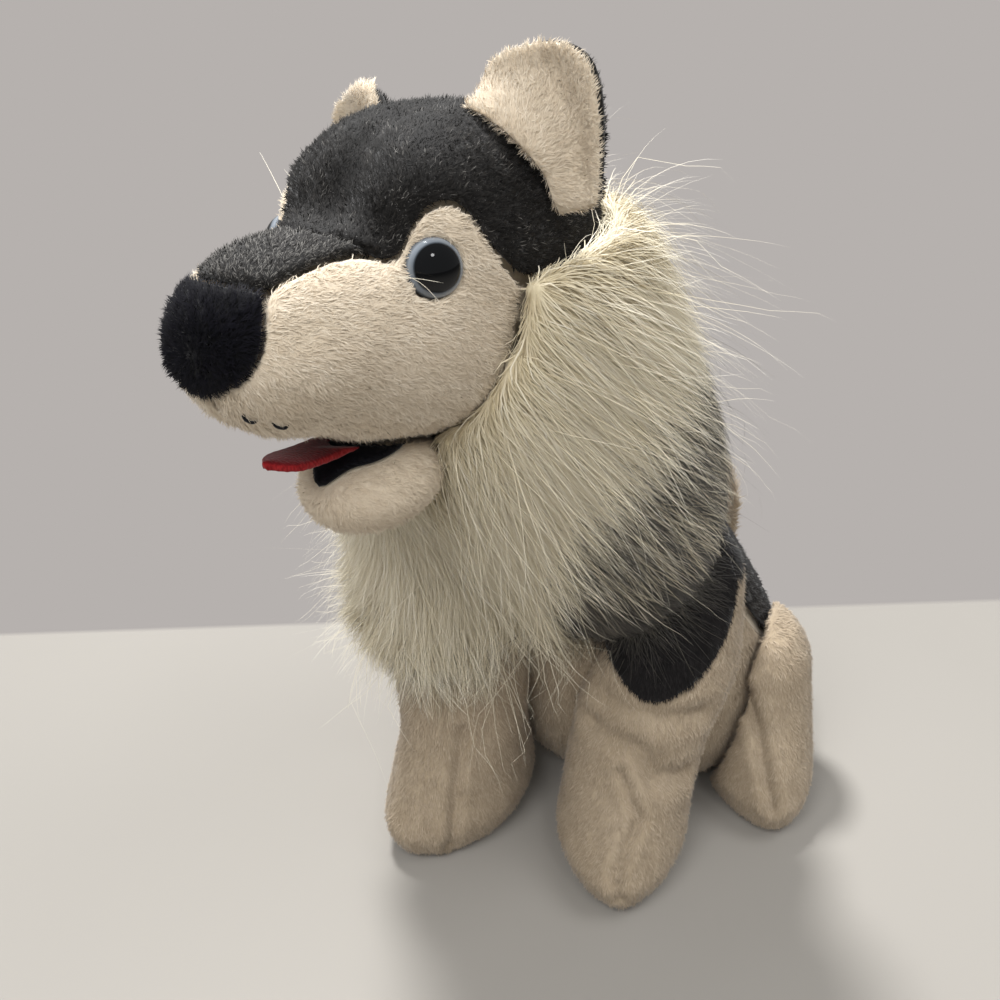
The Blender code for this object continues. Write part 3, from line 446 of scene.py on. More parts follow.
def makeStrands(name, lines, ways, width, tints, material, random, taper=0.7, roundness=0.75,
                roll=0.35):
    # Turns lines into ribbons that lie flat to the skin, with a pointed tip.
    count, steps = lines.shape[0], lines.shape[1] - 1
    ahead = unit(np.gradient(lines, axis=1))
    side = unit(np.cross(ahead, ways[:, None]))
    turn = random.normal(0, roll, (count, 1, 1))
    side = unit(side * np.cos(turn) + np.cross(ahead, side) * np.sin(turn))
    share = np.linspace(0, 1, steps + 1)
    halves = (width[:, None] * (1 - share[None] * strandUser["narrowing"]) ** taper / 2)[..., None]
    left = lines[:, :-1] - side[:, :-1] * halves[:, :-1]
    right = lines[:, :-1] + side[:, :-1] * halves[:, :-1]
    pairs = np.stack([left, right], axis=2).reshape(count, 2 * steps, 3)
    points = np.concatenate([pairs, lines[:, -1:]], axis=1)
    points[..., 2] = np.maximum(points[..., 2], strandUser["above floor"])
    quads = [[2 * i, 2 * i + 1, 2 * i + 3, 2 * i + 2] for i in range(steps - 1)]
    corners = np.concatenate([np.array(quads, int).reshape(-1), [2 * steps - 2, 2 * steps - 1, 2 * steps]])
    size = 2 * steps + 1
    loops = (corners[None] + size * np.arange(count)[:, None]).reshape(-1)
    starts = np.arange(steps) * 4
    starts = (starts[None] + len(corners) * np.arange(count)[:, None]).reshape(-1)
    mesh = bpy.data.meshes.new(name)
    mesh.vertices.add(count * size)
    mesh.vertices.foreach_set("co", points.reshape(-1))
    mesh.loops.add(len(loops))
    mesh.loops.foreach_set("vertex_index", loops)
    mesh.polygons.add(len(starts))
    mesh.polygons.foreach_set("loop_start", starts)
    half, margin = strandUser["uv half"], strandUser["uv edge"]
    across = np.concatenate([np.tile([-half, half], steps), [0.0]])
    along = np.concatenate([np.repeat(share[:-1], 2), [1.0]]) * (1 - 2 * margin) + margin
    u = np.clip(tints[:, None], margin, 1 - margin) + across[None]
    uv = np.stack([u, np.broadcast_to(along, u.shape)], axis=-1)
    layer = mesh.uv_layers.new(name="OFBake")
    layer.data.foreach_set("uv", uv.reshape(-1, 2)[loops].reshape(-1))
    mesh.update()
    mesh.validate()
    mesh.shade_smooth()
    # The shading follows the skin more than the blade, so that the pile looks round and full.
    face = np.cross(ahead, side)
    face *= np.sign((face * ways[:, None]).sum(axis=-1, keepdims=True) + 1e-9)
    shading = unit((1.2 - roundness) * face + roundness * ways[:, None])
    shading = np.concatenate([np.repeat(shading[:, :-1], 2, axis=1), shading[:, -1:]], axis=1)
    mesh.normals_split_custom_set_from_vertices(shading.reshape(-1, 3).tolist())
    mesh.materials.append(material)
    piece = addObject(name, mesh)
    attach(piece, "root")


def mottle(points, size, seed, waves=7):
    # Soft blotches between -1 and 1, about the given size across: a sum of waves in random ways.
    random = np.random.default_rng(seed)
    ways = unit(random.normal(0, 1, (waves, 3)))
    ways = ways * (2 * math.pi / (size * random.uniform(1.2, 2.6, (waves, 1))))
    return np.clip(np.sin(points @ ways.T + random.uniform(0, 6.3, waves)).sum(axis=1) / 3.2, -1, 1)


def steadyFlow(*way):
    return lambda points: np.tile(way, (len(points), 1))


# What all short pile shares: spreads of its length, lift in degrees and shade, and the few ruffled strands
shortUser = {"lengths": (0.7, 1.15), "blotch": 0.006, "blotch lift": 5, "lift spread": 4, "ruffled": 0.06,
             "ruffled lift": 22, "sag": 0.1, "wander": 0.3, "shade": 2.2, "blotch shade": 0.16}


def shortPile(name, skin, user, flow, material, keep=None, tint=None, seedStep=0):
    user = {**shortUser, **user}
    user["seed"] += seedStep
    random = np.random.default_rng(user["seed"])
    roots, ways = scatter(skin, user["perSquareMm"], random, keep)
    count = len(roots)
    blotch = mottle(roots, user["blotch"], user["seed"])
    lengths = user["length"] * random.uniform(*user["lengths"], count)
    lifts = user["lift"] + user["blotch lift"] * blotch + random.normal(0, user["lift spread"], count)
    lifts = np.radians(lifts + user["ruffled lift"] * (random.random(count) < user["ruffled"]))
    lines = growLines(roots, ways, flow(roots), lengths, lifts, user["sag"], 2, random, user["wander"])
    lines = gather(lines, user["lock"], user["pull"], random)
    width = strandWidths(user, count, random)
    if tint:
        tints = tint(roots, random)
    else:
        tints = random.beta(user["shade"], user["shade"], count) + user["blotch shade"] * blotch
    makeStrands(name, lines, ways, width, tints, material, random, roundness=0.9, roll=0.12)


# Camera and light

cameraUser = {"from eyes": (0.1734, -0.1758, 0.0672), "azimuth": 37.0, "down": 29.9, "roll": 3.0, "lens": 35.28,
              "sensor": 36, "clip": (0.01, 20)}


def placeCamera():
    data = bpy.data.cameras.new("Camera")
    data.lens = cameraUser["lens"]
    data.sensor_width = cameraUser["sensor"]
    data.clip_start, data.clip_end = cameraUser["clip"]
    camera = addObject("Camera", data)
    azimuth, down, roll = (math.radians(cameraUser[k]) for k in ("azimuth", "down", "roll"))
    back = Vector((math.sin(azimuth) * math.cos(down), -math.cos(azimuth) * math.cos(down), math.sin(down)))
    right = Vector((math.cos(azimuth), math.sin(azimuth), 0))
    top = back.cross(right)
    turned = right * math.cos(roll) - top * math.sin(roll)
    topTurned = top * math.cos(roll) + right * math.sin(roll)
    pose = Matrix((turned, topTurned, back)).transposed().to_4x4()
    pose.translation = Vector(eyeMiddle) + Vector(cameraUser["from eyes"])
    camera.matrix_world = pose
    scene.camera = camera


lightUser = {
    "key": {"place": (-0.42, 0.20, 1.22), "size": 0.22, "power": 20.0},
    "front": {"place": (0.10, -0.72, 1.00), "size": 0.60, "power": 6.0},
    "fill": {"place": (0.95, -1.00, 0.90), "size": 1.2, "power": 2.0},
    "back": {"place": (0.75, 0.30, 1.30), "size": 0.8, "power": 6.0},
    "glint": {"place": (0.742, -0.436, 1.205), "size": 0.20, "power": 1.6},
    "air": 0.31,
    "aim": (0, 0, 0.14),
}
wallTone = colour(182, 177, 174)


def placeLights():
    aim = Vector(lightUser["aim"])
    for name in ("key", "front", "fill", "back", "glint"):
        user = lightUser[name]
        data = bpy.data.lights.new(name + "Lamp", "AREA")
        data.shape = "DISK"
        data.size = user["size"]
        data.energy = user["power"]
        lamp = addObject(name + "Lamp", data)
        lamp.location = user["place"]
        lamp.visible_glossy = name in ("key", "glint")
        lamp.rotation_euler = (aim - lamp.location).to_track_quat("-Z", "Y").to_euler()


def lightAir():
    # White air lights the toy, and the camera sees the wall's own tone behind it.
    world = bpy.data.worlds.new("Studio")
    scene.world = world
    world.use_nodes = True
    tree = world.node_tree
    air = tree.nodes["Background"]
    air.inputs["Color"].default_value = white
    air.inputs["Strength"].default_value = lightUser["air"]
    seen = addNode(tree, "Background", {"Color": wallTone})
    rays = addNode(tree, "LightPath", {})
    mix = addNode(tree, "MixShader", {"Fac": rays.outputs["Is Camera Ray"], 1: air.outputs["Background"],
                                      2: seen.outputs["Background"]})
    tree.links.new(mix.outputs["Shader"], tree.nodes["World Output"].inputs["Surface"])


floorUser = {"half": 14.0, "tone": (160, 156, 150), "line": (0.136, 0.140), "turn": 35.3, "fade": (0.7, 1.9),
             "waves": 6, "wave strength": 0.35, "wave height": 0.02}


def layFloor():
    # The camera sees the cloth end at a line, and fade to the wall's tone far from the toy.
    deselectAll()
    bpy.ops.mesh.primitive_plane_add(size=2 * floorUser["half"], location=(0, 0, 0))
    floor = bpy.context.object
    floor.name = "floor"
    material, tree, shader = newMaterial("Floor cloth", 0.95, specular=0.1)
    shader.inputs["Base Color"].default_value = colour(*floorUser["tone"])
    place = objectPlace(tree)
    waves = addNoise(tree, place, floorUser["waves"], 2)
    addBump(tree, shader, waves, floorUser["wave strength"], floorUser["wave height"])
    turn = addNode(tree, "Mapping", {"Vector": place, "Rotation": (0, 0, math.radians(-floorUser["turn"]))})
    parts = addNode(tree, "SeparateXYZ", {"Vector": turn.outputs["Vector"]})
    away = addNode(tree, "VectorMath", {0: place}, operation="LENGTH")
    ends = {0: addSpan(tree, parts.outputs["Y"], *floorUser["line"]),
            1: addSpan(tree, away.outputs["Value"], *floorUser["fade"])}
    either = addNode(tree, "Math", ends, operation="MAXIMUM")
    rays = addNode(tree, "LightPath", {})
    far = addNode(tree, "Math", {0: either.outputs["Value"], 1: rays.outputs["Is Camera Ray"]},
                  operation="MULTIPLY")
    wall = addNode(tree, "Emission", {"Color": wallTone})
    mix = addNode(tree, "MixShader", {"Fac": far.outputs["Value"], 1: shader.outputs["BSDF"],
                                      2: wall.outputs["Emission"]})
    tree.links.new(mix.outputs["Shader"], tree.nodes["Material Output"].inputs["Surface"])
    floor.data.materials.append(material)


placeCamera()
placeLights()
lightAir()
layFloor()
print("camera, lights and floor placed")


# Finishes

creamBacking = backingMaterial("Cream pile roots", (214, 199, 176), (230, 216, 194), darkest=0.88)
# A darker copy of the face's cream for the legs, belly, seat and tail: painted shade of the lower body
shadedCreamBacking = backingMaterial("Shaded cream pile roots", (166, 149, 125), (186, 169, 145), darkest=0.80,
                             darkened="shoulderShare")
greyBacking = backingMaterial("Grey pile roots", (28, 27, 26), (46, 44, 43), fleck=(96, 94, 92))
darkBacking = backingMaterial("Dark pile roots", (20, 18, 19), (32, 30, 31))
blackBacking = backingMaterial("Black pile roots", (8, 8, 11), (16, 15, 20))
creamPile = pileMaterial(
    "Cream pile",
    [(0.0, 206, 190, 167), (1.0, 226, 212, 190)],
    [(0.0, 212, 197, 174), (0.6, 230, 217, 196), (1.0, 250, 241, 225)])
# The darker cream here is painted shade of the lower body; its lowest shades are the dark grey at the tops of
# the front legs
shadedCreamPile = pileMaterial(
    "Shaded cream pile",
    [(0.0, 18, 17, 18), (0.08, 22, 20, 21), (0.12, 152, 135, 113), (1.0, 178, 161, 138)],
    [(0.0, 34, 32, 32), (0.08, 40, 38, 38), (0.12, 170, 153, 131), (1.0, 210, 194, 172)])
greyPile = pileMaterial(
    "Grey pile",
    [(0.0, 11, 10, 10), (1.0, 28, 27, 26)],
    [(0.0, 18, 17, 16), (0.7, 44, 42, 40), (0.90, 64, 61, 58), (1.0, 138, 135, 130)], sheen=0.05)
darkPile = pileMaterial(
    "Dark pile",
    [(0.0, 12, 11, 12), (1.0, 28, 26, 27)],
    [(0.0, 20, 19, 20), (1.0, 54, 51, 51)], sheen=0.05)
blackPile = pileMaterial(
    "Black pile",
    [(0.0, 5, 5, 8), (1.0, 12, 12, 17)],
    [(0.0, 9, 9, 13), (1.0, 26, 25, 35)], sheen=0.04)
ruffPile = pileMaterial(
    "Long pile",
    [(0.0, 20, 19, 20), (0.3, 52, 50, 47), (0.45, 150, 136, 108), (0.6, 198, 182, 146),
     (1.0, 226, 214, 184)],
    [(0.0, 40, 38, 38), (0.3, 112, 108, 100), (0.45, 196, 184, 156), (0.8, 236, 228, 205),
     (1.0, 252, 248, 238)], roughness=0.55, sheen=0.1, specular=0.4)


# Head

def outOfHead(points, normals):
    return ((unit(points - headCentre) * normals).sum(axis=1) > 0.12).astype(float)


def faceFlow(points):
    # Back from the nose, and down over the lips and cheeks.
    away = points - headCentre
    down = 0.45 + 6.0 * np.clip(-away[:, 2], 0, 0.05)
    return np.stack([0.15 * np.sign(away[:, 0]), np.ones(len(away)), -down], axis=1)


faceUser = dict(seed=11, perSquareMm=6.6, length=0.0024, width=0.00024, lift=17, lock=26, pull=0.5,
                wander=0.45)
crownUser = dict(seed=12, perSquareMm=4.3, length=0.0022, width=0.00028, lift=38, lock=12, pull=0.4,
                 blotch=0.004, wander=0.7,
                 valley=[(0, -0.040, 0.018), (0, -0.033, 0.024), (0, -0.020, 0.032), (0, 0.0, 0.036)])
stripeUser = dict(seed=13, perSquareMm=7.0, length=0.0017, width=0.00022, lift=45, lock=8, pull=0.35,
                  wander=0.9)
noseUser = dict(seed=14, perSquareMm=7.0, length=0.0030, width=0.00024, lift=54, lock=14, pull=0.6,
                wander=0.5)


def noseFlow(points):
    away = points - headCentre
    return np.stack([away[:, 0] * 30, np.full(len(away), 0.3), (away[:, 2] + 0.001) * 40], axis=1)


def stripeTint(points, random):
    return np.clip(random.beta(2.2, 2.0, len(points)) + 0.3, 0, 1)


def makeHead():
    core = makeSkin("head_stuffing", "headFilling", creamBacking)
    liftChin(core)
    for side in ("left", "right"):
        skin = makeSkin("face_panel_" + side, "faceSkin_" + side, creamBacking, 1, smoothing=1)
        liftChin(skin)
        shortPile("facePile_" + side, skin, faceUser, faceFlow, creamPile, outOfHead,
                  seedStep=len(side))
    backwards = steadyFlow(0, 1.0, 0.1)
    mask = makeSkin("mask_panel", "maskSkin", greyBacking, 2, smoothing=1)
    pressLine(mask, headCentre + np.array(crownUser["valley"]), 0.0016, 0.0055)
    shortPile("maskPile", mask, crownUser, backwards, greyPile, outOfHead)
    stripe = makeSkin("muzzle_stripe", "stripeSkin", greyBacking, 1, smoothing=1)
    shortPile("stripePile", stripe, stripeUser, backwards, greyPile, outOfHead, stripeTint)
    nose = makeSkin("nose", "noseSkin", blackBacking, 1, smoothing=1)
    liftChin(nose)
    shortPile("nosePile", nose, noseUser, noseFlow, blackPile, outOfHead)


makeHead()
print("head panels and pile made")


# Eyes

eyeUser = {"radius": 0.0073, "bulge": 0.0052, "back": 0.0022, "rings": 20, "around": 48, "uv edge": 0.02}


def eyeMaterial():
    # A black dome with the pale ring of the iris, painted by the way from its middle to its rim.
    material, tree, shader = newMaterial("Eye plastic", 0.05, specular=0.35)
    # The iris ring lightens to a pale band near its outer edge, a painted light from the ring's lit side laid
    # all round it, and ends in a dark rim
    stops = shades((0.0, 6, 7, 9), (0.745, 9, 10, 12), (0.775, 58, 64, 70), (0.81, 112, 119, 127),
                   (0.90, 142, 149, 157), (0.96, 96, 101, 107), (1.0, 40, 42, 45))
    tree.links.new(addRamp(tree, uvParts(tree)["Y"], stops), shader.inputs["Base Color"])
    return material


def eyeAxis(points):
    # The way a round solid turns about: its spread along it is unlike the other two.
    spread, ways = np.linalg.eigh(np.cov((points - points.mean(axis=0)).T))
    unlike = [abs(spread[i] - spread[i - 1]) + abs(spread[i] - spread[i - 2]) for i in range(3)]
    axis = ways[:, np.argmax(unlike)]
    return axis if axis[1] < 0 else -axis


def makeEye(side, material):
    node = "eye_" + side
    points = meshArrays(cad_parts[node])[0]
    middle = points.mean(axis=0)
    axis = eyeAxis(points)
    apex = middle + axis * ((points - middle) @ axis).max()
    seat = Vector(apex - axis * eyeUser["bulge"])
    turn = Vector(upward).rotation_difference(Vector(axis)).to_matrix()
    radius = eyeUser["radius"]
    deselectAll()
    bpy.ops.mesh.primitive_uv_sphere_add(segments=eyeUser["around"], ring_count=eyeUser["rings"], radius=radius)
    eye = bpy.context.object
    eye.name = "eyeDome_" + side
    mesh = eye.data
    outwards = []
    for vertex in mesh.vertices:
        x, y, z = vertex.co
        outwards.append(math.hypot(x, y) / radius if z > -1e-5 else 1.0)
        z = z / radius * (eyeUser["bulge"] if z > 0 else eyeUser["back"])
        vertex.co = turn @ Vector((x, y, z)) + seat
    for old in list(mesh.uv_layers):
        mesh.uv_layers.remove(old)
    layer = mesh.uv_layers.new(name="OFBake")
    margin = eyeUser["uv edge"]

    def around(place):  # the angle round the dome, as a share of a turn
        local = turn.inverted() @ (place - seat)
        return math.atan2(local.y, local.x) / (2 * math.pi) % 1.0

    for polygon in mesh.polygons:
        middleAngle = around(polygon.center)
        for loop in polygon.loop_indices:
            vertex = mesh.loops[loop].vertex_index
            angle = around(mesh.vertices[vertex].co) if outwards[vertex] >= 1e-4 else middleAngle
            angle += round(middleAngle - angle)
            uv = np.array([angle, outwards[vertex]])
            layer.data[loop].uv = margin + (1 - 2 * margin) * uv
    mesh.shade_smooth()
    mesh.materials.append(material)
    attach(eye, "root")
    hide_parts(node)


washerPlastic = plainMaterial("Washer plastic", (0.5, 0.0, 0.5, 0.4), (240, 3),
                              shades((0.3, 214, 212, 206), (0.7, 228, 226, 220)))
eyePlastic = eyeMaterial()
for side in ("left", "right"):
    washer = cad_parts["eye_washer_" + side]
    washer.data.materials.clear()
    washer.data.materials.append(washerPlastic)
    makeEye(side, eyePlastic)
print("eyes made")


# Ears

# The hollow runs through shares of the ear's own box; reach says how far round the edge the pile stands.
earUser = {"seed": 21, "perSquareMm": 6.5, "length": 0.0025, "width": 0.00024, "lift": 22, "lock": 14,
           "pull": 0.4, "wander": 0.5, "size": {"left": 0.955, "right": 0.91}, "foot": (0.024, 0.004, 0.022),
           "hollow": [(0.61, 0.6, 0.80), (0.66, 0.6, 0.60), (0.76, 0.6, 0.30)], "depth": 0.0026, "half": 0.0055,
           "reach": {"front": -0.25, "back": 0.65}}


def makeEarLayer(side, layer, other, material, backing):
    foot = headCentre + np.array(earUser["foot"]) * [1 if side == "left" else -1, 1, 1]
    node = "ear_" + layer + "_" + side
    name = "ear" + layer.title()
    skin = makeSkin(node, name + "_" + side, backing, 1)
    points = foot + (meshArrays(skin)[0] - foot) * earUser["size"][side]
    otherPoints = meshArrays(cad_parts["ear_" + other + "_" + side])[0]
    outward = unit(points.mean(axis=0) - otherPoints.mean(axis=0))
    backward = -outward if layer == "front" else outward
    hollow = [(x if side == "left" else 1 - x, y, z) for x, y, z in earUser["hollow"]]
    gaps = lineGap(points, np.array(inBox("ear_front_" + side, hollow)))
    furrow = earUser["depth"] * np.exp(-(gaps / earUser["half"]) ** 2)
    moveSkin(skin, points + backward * furrow[:, None])

    def fanOut(places):
        return unit(places - foot) + 0.2 * upward

    def outside(places, normals):
        return ((normals @ outward) > earUser["reach"][layer]).astype(float)

    shortPile(name + "Pile_" + side, skin, earUser, fanOut, material, outside, seedStep=len(node))


for side in ("left", "right"):
    makeEarLayer(side, "front", "back", creamPile, creamBacking)
    makeEarLayer(side, "back", "front", darkPile, greyBacking)
print("ears made")


# Mouth

jawUser = dict(seed=31, perSquareMm=5.0, length=0.0024, width=0.00023, lift=20, lock=20, pull=0.4,
               wander=0.5)
liningUser = dict(seed=32, perSquareMm=5.0, length=0.0022, width=0.00028, lift=40, lock=8, pull=0.4)
tongueUser = {"tip": 0.68, "tip run": 0.345, "edge": (0.35, 0.9)}
# The felt is lighter on the tongue's upright sides than on its top and bottom: painted light on its rounded rim
redFelt = plainMaterial("Red felt", (0.9, 0.25, 0.4, 0.1), (900, 5, (1, 2.2, 1)),
                        shades((0.3, 92, 20, 26), (0.7, 132, 36, 40)),
                        shades((0.3, 112, 20, 25), (0.7, 160, 42, 44)), "litRimShare", (0.6, 0.0005))


def makeTongue():
    felt = makeSkin("tongue", "tongueFelt", redFelt, 1, voxel=0.00045, smoothing=10)
    points = meshArrays(felt)[0]
    low, high = (np.array(corner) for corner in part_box("tongue"))
    along = (high[1] - points[:, 1]) / (high[1] - low[1])
    tip = np.clip((along - tongueUser["tip"]) / tongueUser["tip run"], 0, 0.99)
    points[:, 0] -= (points[:, 0] - (low[0] + high[0]) / 2) * (1 - np.sqrt(1 - tip ** 2))
    moveSkin(felt, points)
    normals = meshArrays(felt)[1]
    # How far each point faces sideways, which says where the painted light on the rim goes
    storeShare(felt, "litRimShare", 1 - smoothStep(*tongueUser["edge"], np.abs(normals[:, 2])))


def makeThread(name, path):
    # A black thread through a few places, as a closed tube.
    data = bpy.data.curves.new(name, "CURVE")
    data.dimensions = "3D"
    data.bevel_depth = stitchUser["thread"]
    data.bevel_resolution = 2
    data.use_fill_caps = True
    spline = data.splines.new("NURBS")
    spline.points.add(len(path) - 1)
    for point, place in zip(spline.points, path):
        point.co = (*place, 1)
    spline.use_endpoint_u = True
    spline.order_u = 3
    spline.resolution_u = 4
    makeActive(addObject(name, data))
    bpy.ops.object.convert(target="MESH")
    thread = bpy.context.object
    thread.data.materials.append(blackThread)
    thread.data.shade_smooth()
    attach(thread, "root")


stitchUser = {
    "lip": [((0.0085, -0.0823, -0.0180), (0.0104, -0.0800, -0.0200)),
            ((0.0133, -0.0778, -0.0212), (0.0150, -0.0748, -0.0232))],
    "arch": [(0, 0.0), (0.15, 0.0009), (0.5, 0.0011), (0.85, 0.0009), (1, 0.0)],
    "thread": 0.00038,
}


def makeStitches():
    # The last stitches of the lip's seam, in black thread.
    face = treeOf([bpy.data.objects["faceSkin_left"]])
    for i, (start, end) in enumerate(stitchUser["lip"]):
        path = []
        for share, height in stitchUser["arch"]:
            place = Vector(headCentre + np.array(start) * (1 - share) + np.array(end) * share)
            spot, normal, _, _ = face.find_nearest(place)
            path.append(spot + normal * height)
        makeThread("lipStitch_" + str(i + 1), path)


def makeMouth():
    jaw = makeSkin("lower_jaw", "jawSkin", creamBacking, voxel=0.0012, smoothing=6)
    middle = meshArrays(jaw)[0].mean(axis=0)
    lining = makeSkin("mouth_lining", "liningSkin", blackBacking, 1)
    bare = openBeyond(BVHTree.FromObject(lining, bpy.context.evaluated_depsgraph_get()), 0.004, 0)

    def jawFlow(points):  # back, down and away from the middle
        return (points - middle) * [1, 0, 0] + [0, 0.012, -0.012]

    def jawTint(points, random):
        return 0.55 * random.random(len(points))

    def upper(points, normals):
        return (normals[:, 2] > 0).astype(float)

    shortPile("jawPile", jaw, jawUser, jawFlow, creamPile, bare, jawTint)
    shortPile("liningPile", lining, liningUser, steadyFlow(0, -0.6, 0.4), blackPile, upper)
    makeTongue()


blackThread = backingMaterial("Black thread", (10, 10, 12), (20, 20, 24))
makeMouth()
makeStitches()
print("mouth made")


# Torso, legs and tail

torsoUser = {"heights": (0, 0.09, 0.24), "back": (0.088, 0.073, -0.027)}  # the torso's middle line


def bodyOutward(points, normals):
    back = np.interp(points[:, 2], torsoUser["heights"], torsoUser["back"])
    centre = bodyFoot + back[:, None] * bodyBack + points * upward
    return ((unit(points - centre) * normals).sum(axis=1) > 0.1).astype(float)


legUser = dict(seed=41, perSquareMm=1.65, length=0.0028, width=0.00037, lift=20, lock=12, pull=0.3,
               sink=0.0018, shoulder=(0.125, 0.129))
backUser = dict(seed=42, perSquareMm=0.8, length=0.0034, width=0.00049, lift=20, lock=12, pull=0.3)
bellyUser = dict(seed=43, perSquareMm=0.6, length=0.0032, width=0.00050, lift=20, lock=12, pull=0.3)
patchUser = dict(seed=44, perSquareMm=3.0, length=0.0030, width=0.00030, lift=20, lock=12, pull=0.3)
tailUser = dict(seed=45, perSquareMm=1.2, length=0.0090, width=0.00040, lift=30, lock=9, pull=0.6)

# Seams and creases: places as shares of each leg's own box, then depth and half-width
hindSeam = [(0.33, 0.27, 0.72), (0.49, 0.23, 0.57), (0.66, 0.12, 0.39), (0.81, 0.03, 0.23)]
creases = {
    "front_leg_left": [
        ([(0.58, 0.25, 0.4), (0.75, 0.21, 0.29), (0.73, 0.04, 0.16), (0.78, 0.03, 0.09)], 0.0022, 0.0024),
        ([(0.32, 0.32, 0.49), (0.65, 0.3, 0.47), (0.77, 0.32, 0.39), (0.89, 0.43, 0.36)], 0.0034, 0.0050),
        ([(0.4, 0.33, 0.57), (0.72, 0.36, 0.57), (0.93, 0.49, 0.56)], 0.0028, 0.0048),
    ],
    "front_leg_right": [
        ([(0.79, 0.32, 0.42), (0.8, 0.24, 0.27), (0.84, 0.15, 0.11), (0.79, 0.16, 0.05)], 0.0022, 0.0026),
    ],
    "hind_leg_left": [(hindSeam, 0.0024, 0.0028)],
    "hind_leg_right": [([(1 - x, y, z) for x, y, z in hindSeam], 0.0024, 0.0028)],
}
downFlow = steadyFlow(0, 0.15, -1.0)


def shoulderShare(points):  # the tops of the front legs are as dark as the patches beside them
    return smoothStep(*legUser["shoulder"], points[:, 2])


def legTint(points, random):
    dark = random.random(len(points)) < shoulderShare(points)
    cream = 0.16 + 0.84 * random.beta(2.2, 2.2, len(points)) + 0.12 * mottle(points, 0.006, 47)
    return np.where(dark, 0.04, np.clip(cream, 0.16, 1))


def sinkUnder(leg, patch):
    # The leg draws back a little where the patch is sewn over it.
    points, normals, _ = meshArrays(leg)
    tree = treeOf([patch])
    gaps = np.array([tree.find_nearest(Vector(point))[3] for point in points])
    depth = legUser["sink"] * (1 - smoothStep(0.0015, 0.0045, gaps))
    moveSkin(leg, points - normals * depth[:, None])


def makeLeg(kind, name, side, shown):
    node = kind + side
    leg = makeSkin(node, name + "_" + side, shadedCreamBacking, 1, voxel=0.0026, smoothing=8)
    for line, depth, width in creases[node]:
        pressLine(leg, inBox(node, line), depth, width)
    if kind == "front_leg_":
        sinkUnder(leg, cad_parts["shoulder_patch_" + side])
        storeShare(leg, "shoulderShare", shoulderShare(meshArrays(leg)[0]))

    def offFloor(points, normals):
        return shown(points, normals) * (points[:, 2] > 0.0015) * (normals[:, 2] > -0.9)

    shortPile(name + "Pile_" + side, leg, legUser, downFlow, shadedCreamPile, offFloor, legTint,
              len(node) * 3)
    return leg


def makePatch(side, leg, shown):
    patch = makeSkin("shoulder_patch_" + side, "patchSkin_" + side, darkBacking, 1)
    middle = meshArrays(leg)[0].mean(axis=0)

    def outside(points, normals):
        level = unit((points - middle) * [1, 1, 0])
        return shown(points, normals) * ((level * normals).sum(axis=1) > 0.1)

    shortPile("patchPile_" + side, patch, patchUser, downFlow, darkPile, outside,
              seedStep=len(side))
    return patch


def makeBody():
    shown = openBeyond(treeOf([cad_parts["ruff"]]), 0.03)

    def outside(points, normals):
        return bodyOutward(points, normals) * shown(points, normals)

    makeSkin("torso_stuffing", "torsoFilling", creamBacking)
    back = makeSkin("back_panel", "backSkin", darkBacking, 1, smoothing=2)
    belly = makeSkin("belly_panel", "bellySkin", shadedCreamBacking, 1, smoothing=2)
    seat = makeSkin("seat_panel", "seatSkin", shadedCreamBacking)
    shortPile("backPile", back, backUser, steadyFlow(0, 0.5, -1.0), darkPile, outside)
    shortPile("bellyPile", belly, bellyUser, downFlow, shadedCreamPile, outside, legTint)
    limbs = []
    for side in ("left", "right"):
        front = makeLeg("front_leg_", "frontLeg", side, shown)
        hind = makeLeg("hind_leg_", "hindLeg", side, shown)
        limbs += [front, hind, makePatch(side, front, shown)]
    tail = makeSkin("tail", "tailSkin", shadedCreamBacking, voxel=0.002, smoothing=8)
    shortPile("tailPile", tail, tailUser, steadyFlow(0, -0.5, 1.0), creamPile)
    return [back, belly, seat, tail] + limbs


bodySkins = makeBody()
print("body, legs and tail made")


# Ruff

ruffUser = {
    "base": {"seed": 51, "perSquareMm": 0.6, "length": 0.016, "width": 0.00043, "rise": 0.0026, "steps": 3,
             "free": 0.3, "pieces": 2},
    "long": {"seed": 52, "perSquareMm": 1.38, "length": 0.037, "width": 0.00020, "rise": 0.0040, "steps": 5,
             "free": 0.45, "pieces": 3},
    "stray": {"seed": 53, "perSquareMm": 0.045, "length": 0.050, "width": 0.00014, "rise": 0.0150, "steps": 7,
              "free": 0.9, "pieces": 1},
    "tuft": {"seed": 54, "perSquareMm": 0.30, "length": 0.034, "width": 0.00016, "steps": 6},
    # Angle round the neck, and the height in millimetres that the grey reaches there
    "grey line": [(-180, 112), (-165, 90), (-152, 60), (-142, 0), (-66, 0), (-56, 62), (-41, 100), (-24, 114),
                  (-10, 122), (20, 120), (60, 112), (180, 112)],
    "long grey": 0.30,
    "chest growth": 0.10,
    "bulk": {"base": 0.0045, "long": 0.0090, "stray": 0.0120},
    "rim": 0.0040,
    "hem": 0.0050,
}
ruffBacking = plainMaterial("Long pile roots", (0.9, 0.2, 0.5, 0.1), (700, 3, (1, 1, 0.25)),
                            shades((0.3, 190, 176, 144), (0.7, 218, 206, 176)),
                            shades((0.3, 20, 19, 19), (0.7, 34, 32, 32)), "greyShare")


def ruffSide(angle):  # the angle folded to one side: -90 at the chest, 0 at either flank, 90 at the nape
    return np.degrees(np.arcsin(np.clip(np.sin(np.radians(angle)), -1, 1)))


def ruffRoots(points, normals):  # pile stands on the collar's outer side and on top of its rim
    outside = (ruffRadial(points) * normals).sum(axis=1) > 0.05
    return (outside | (normals @ ruffAxis > 0.45)).astype(float)


def greyShare(points):
    # Over shoulders and back the pile is dark grey at first, and cream from a line higher up.
    angle, along = ruffPlace(points)
    line = np.interp(angle, *np.array(ruffUser["grey line"]).T) / 1000
    return (1 - smoothStep(-0.016, 0.012, along - line)) * (line > 0.001)


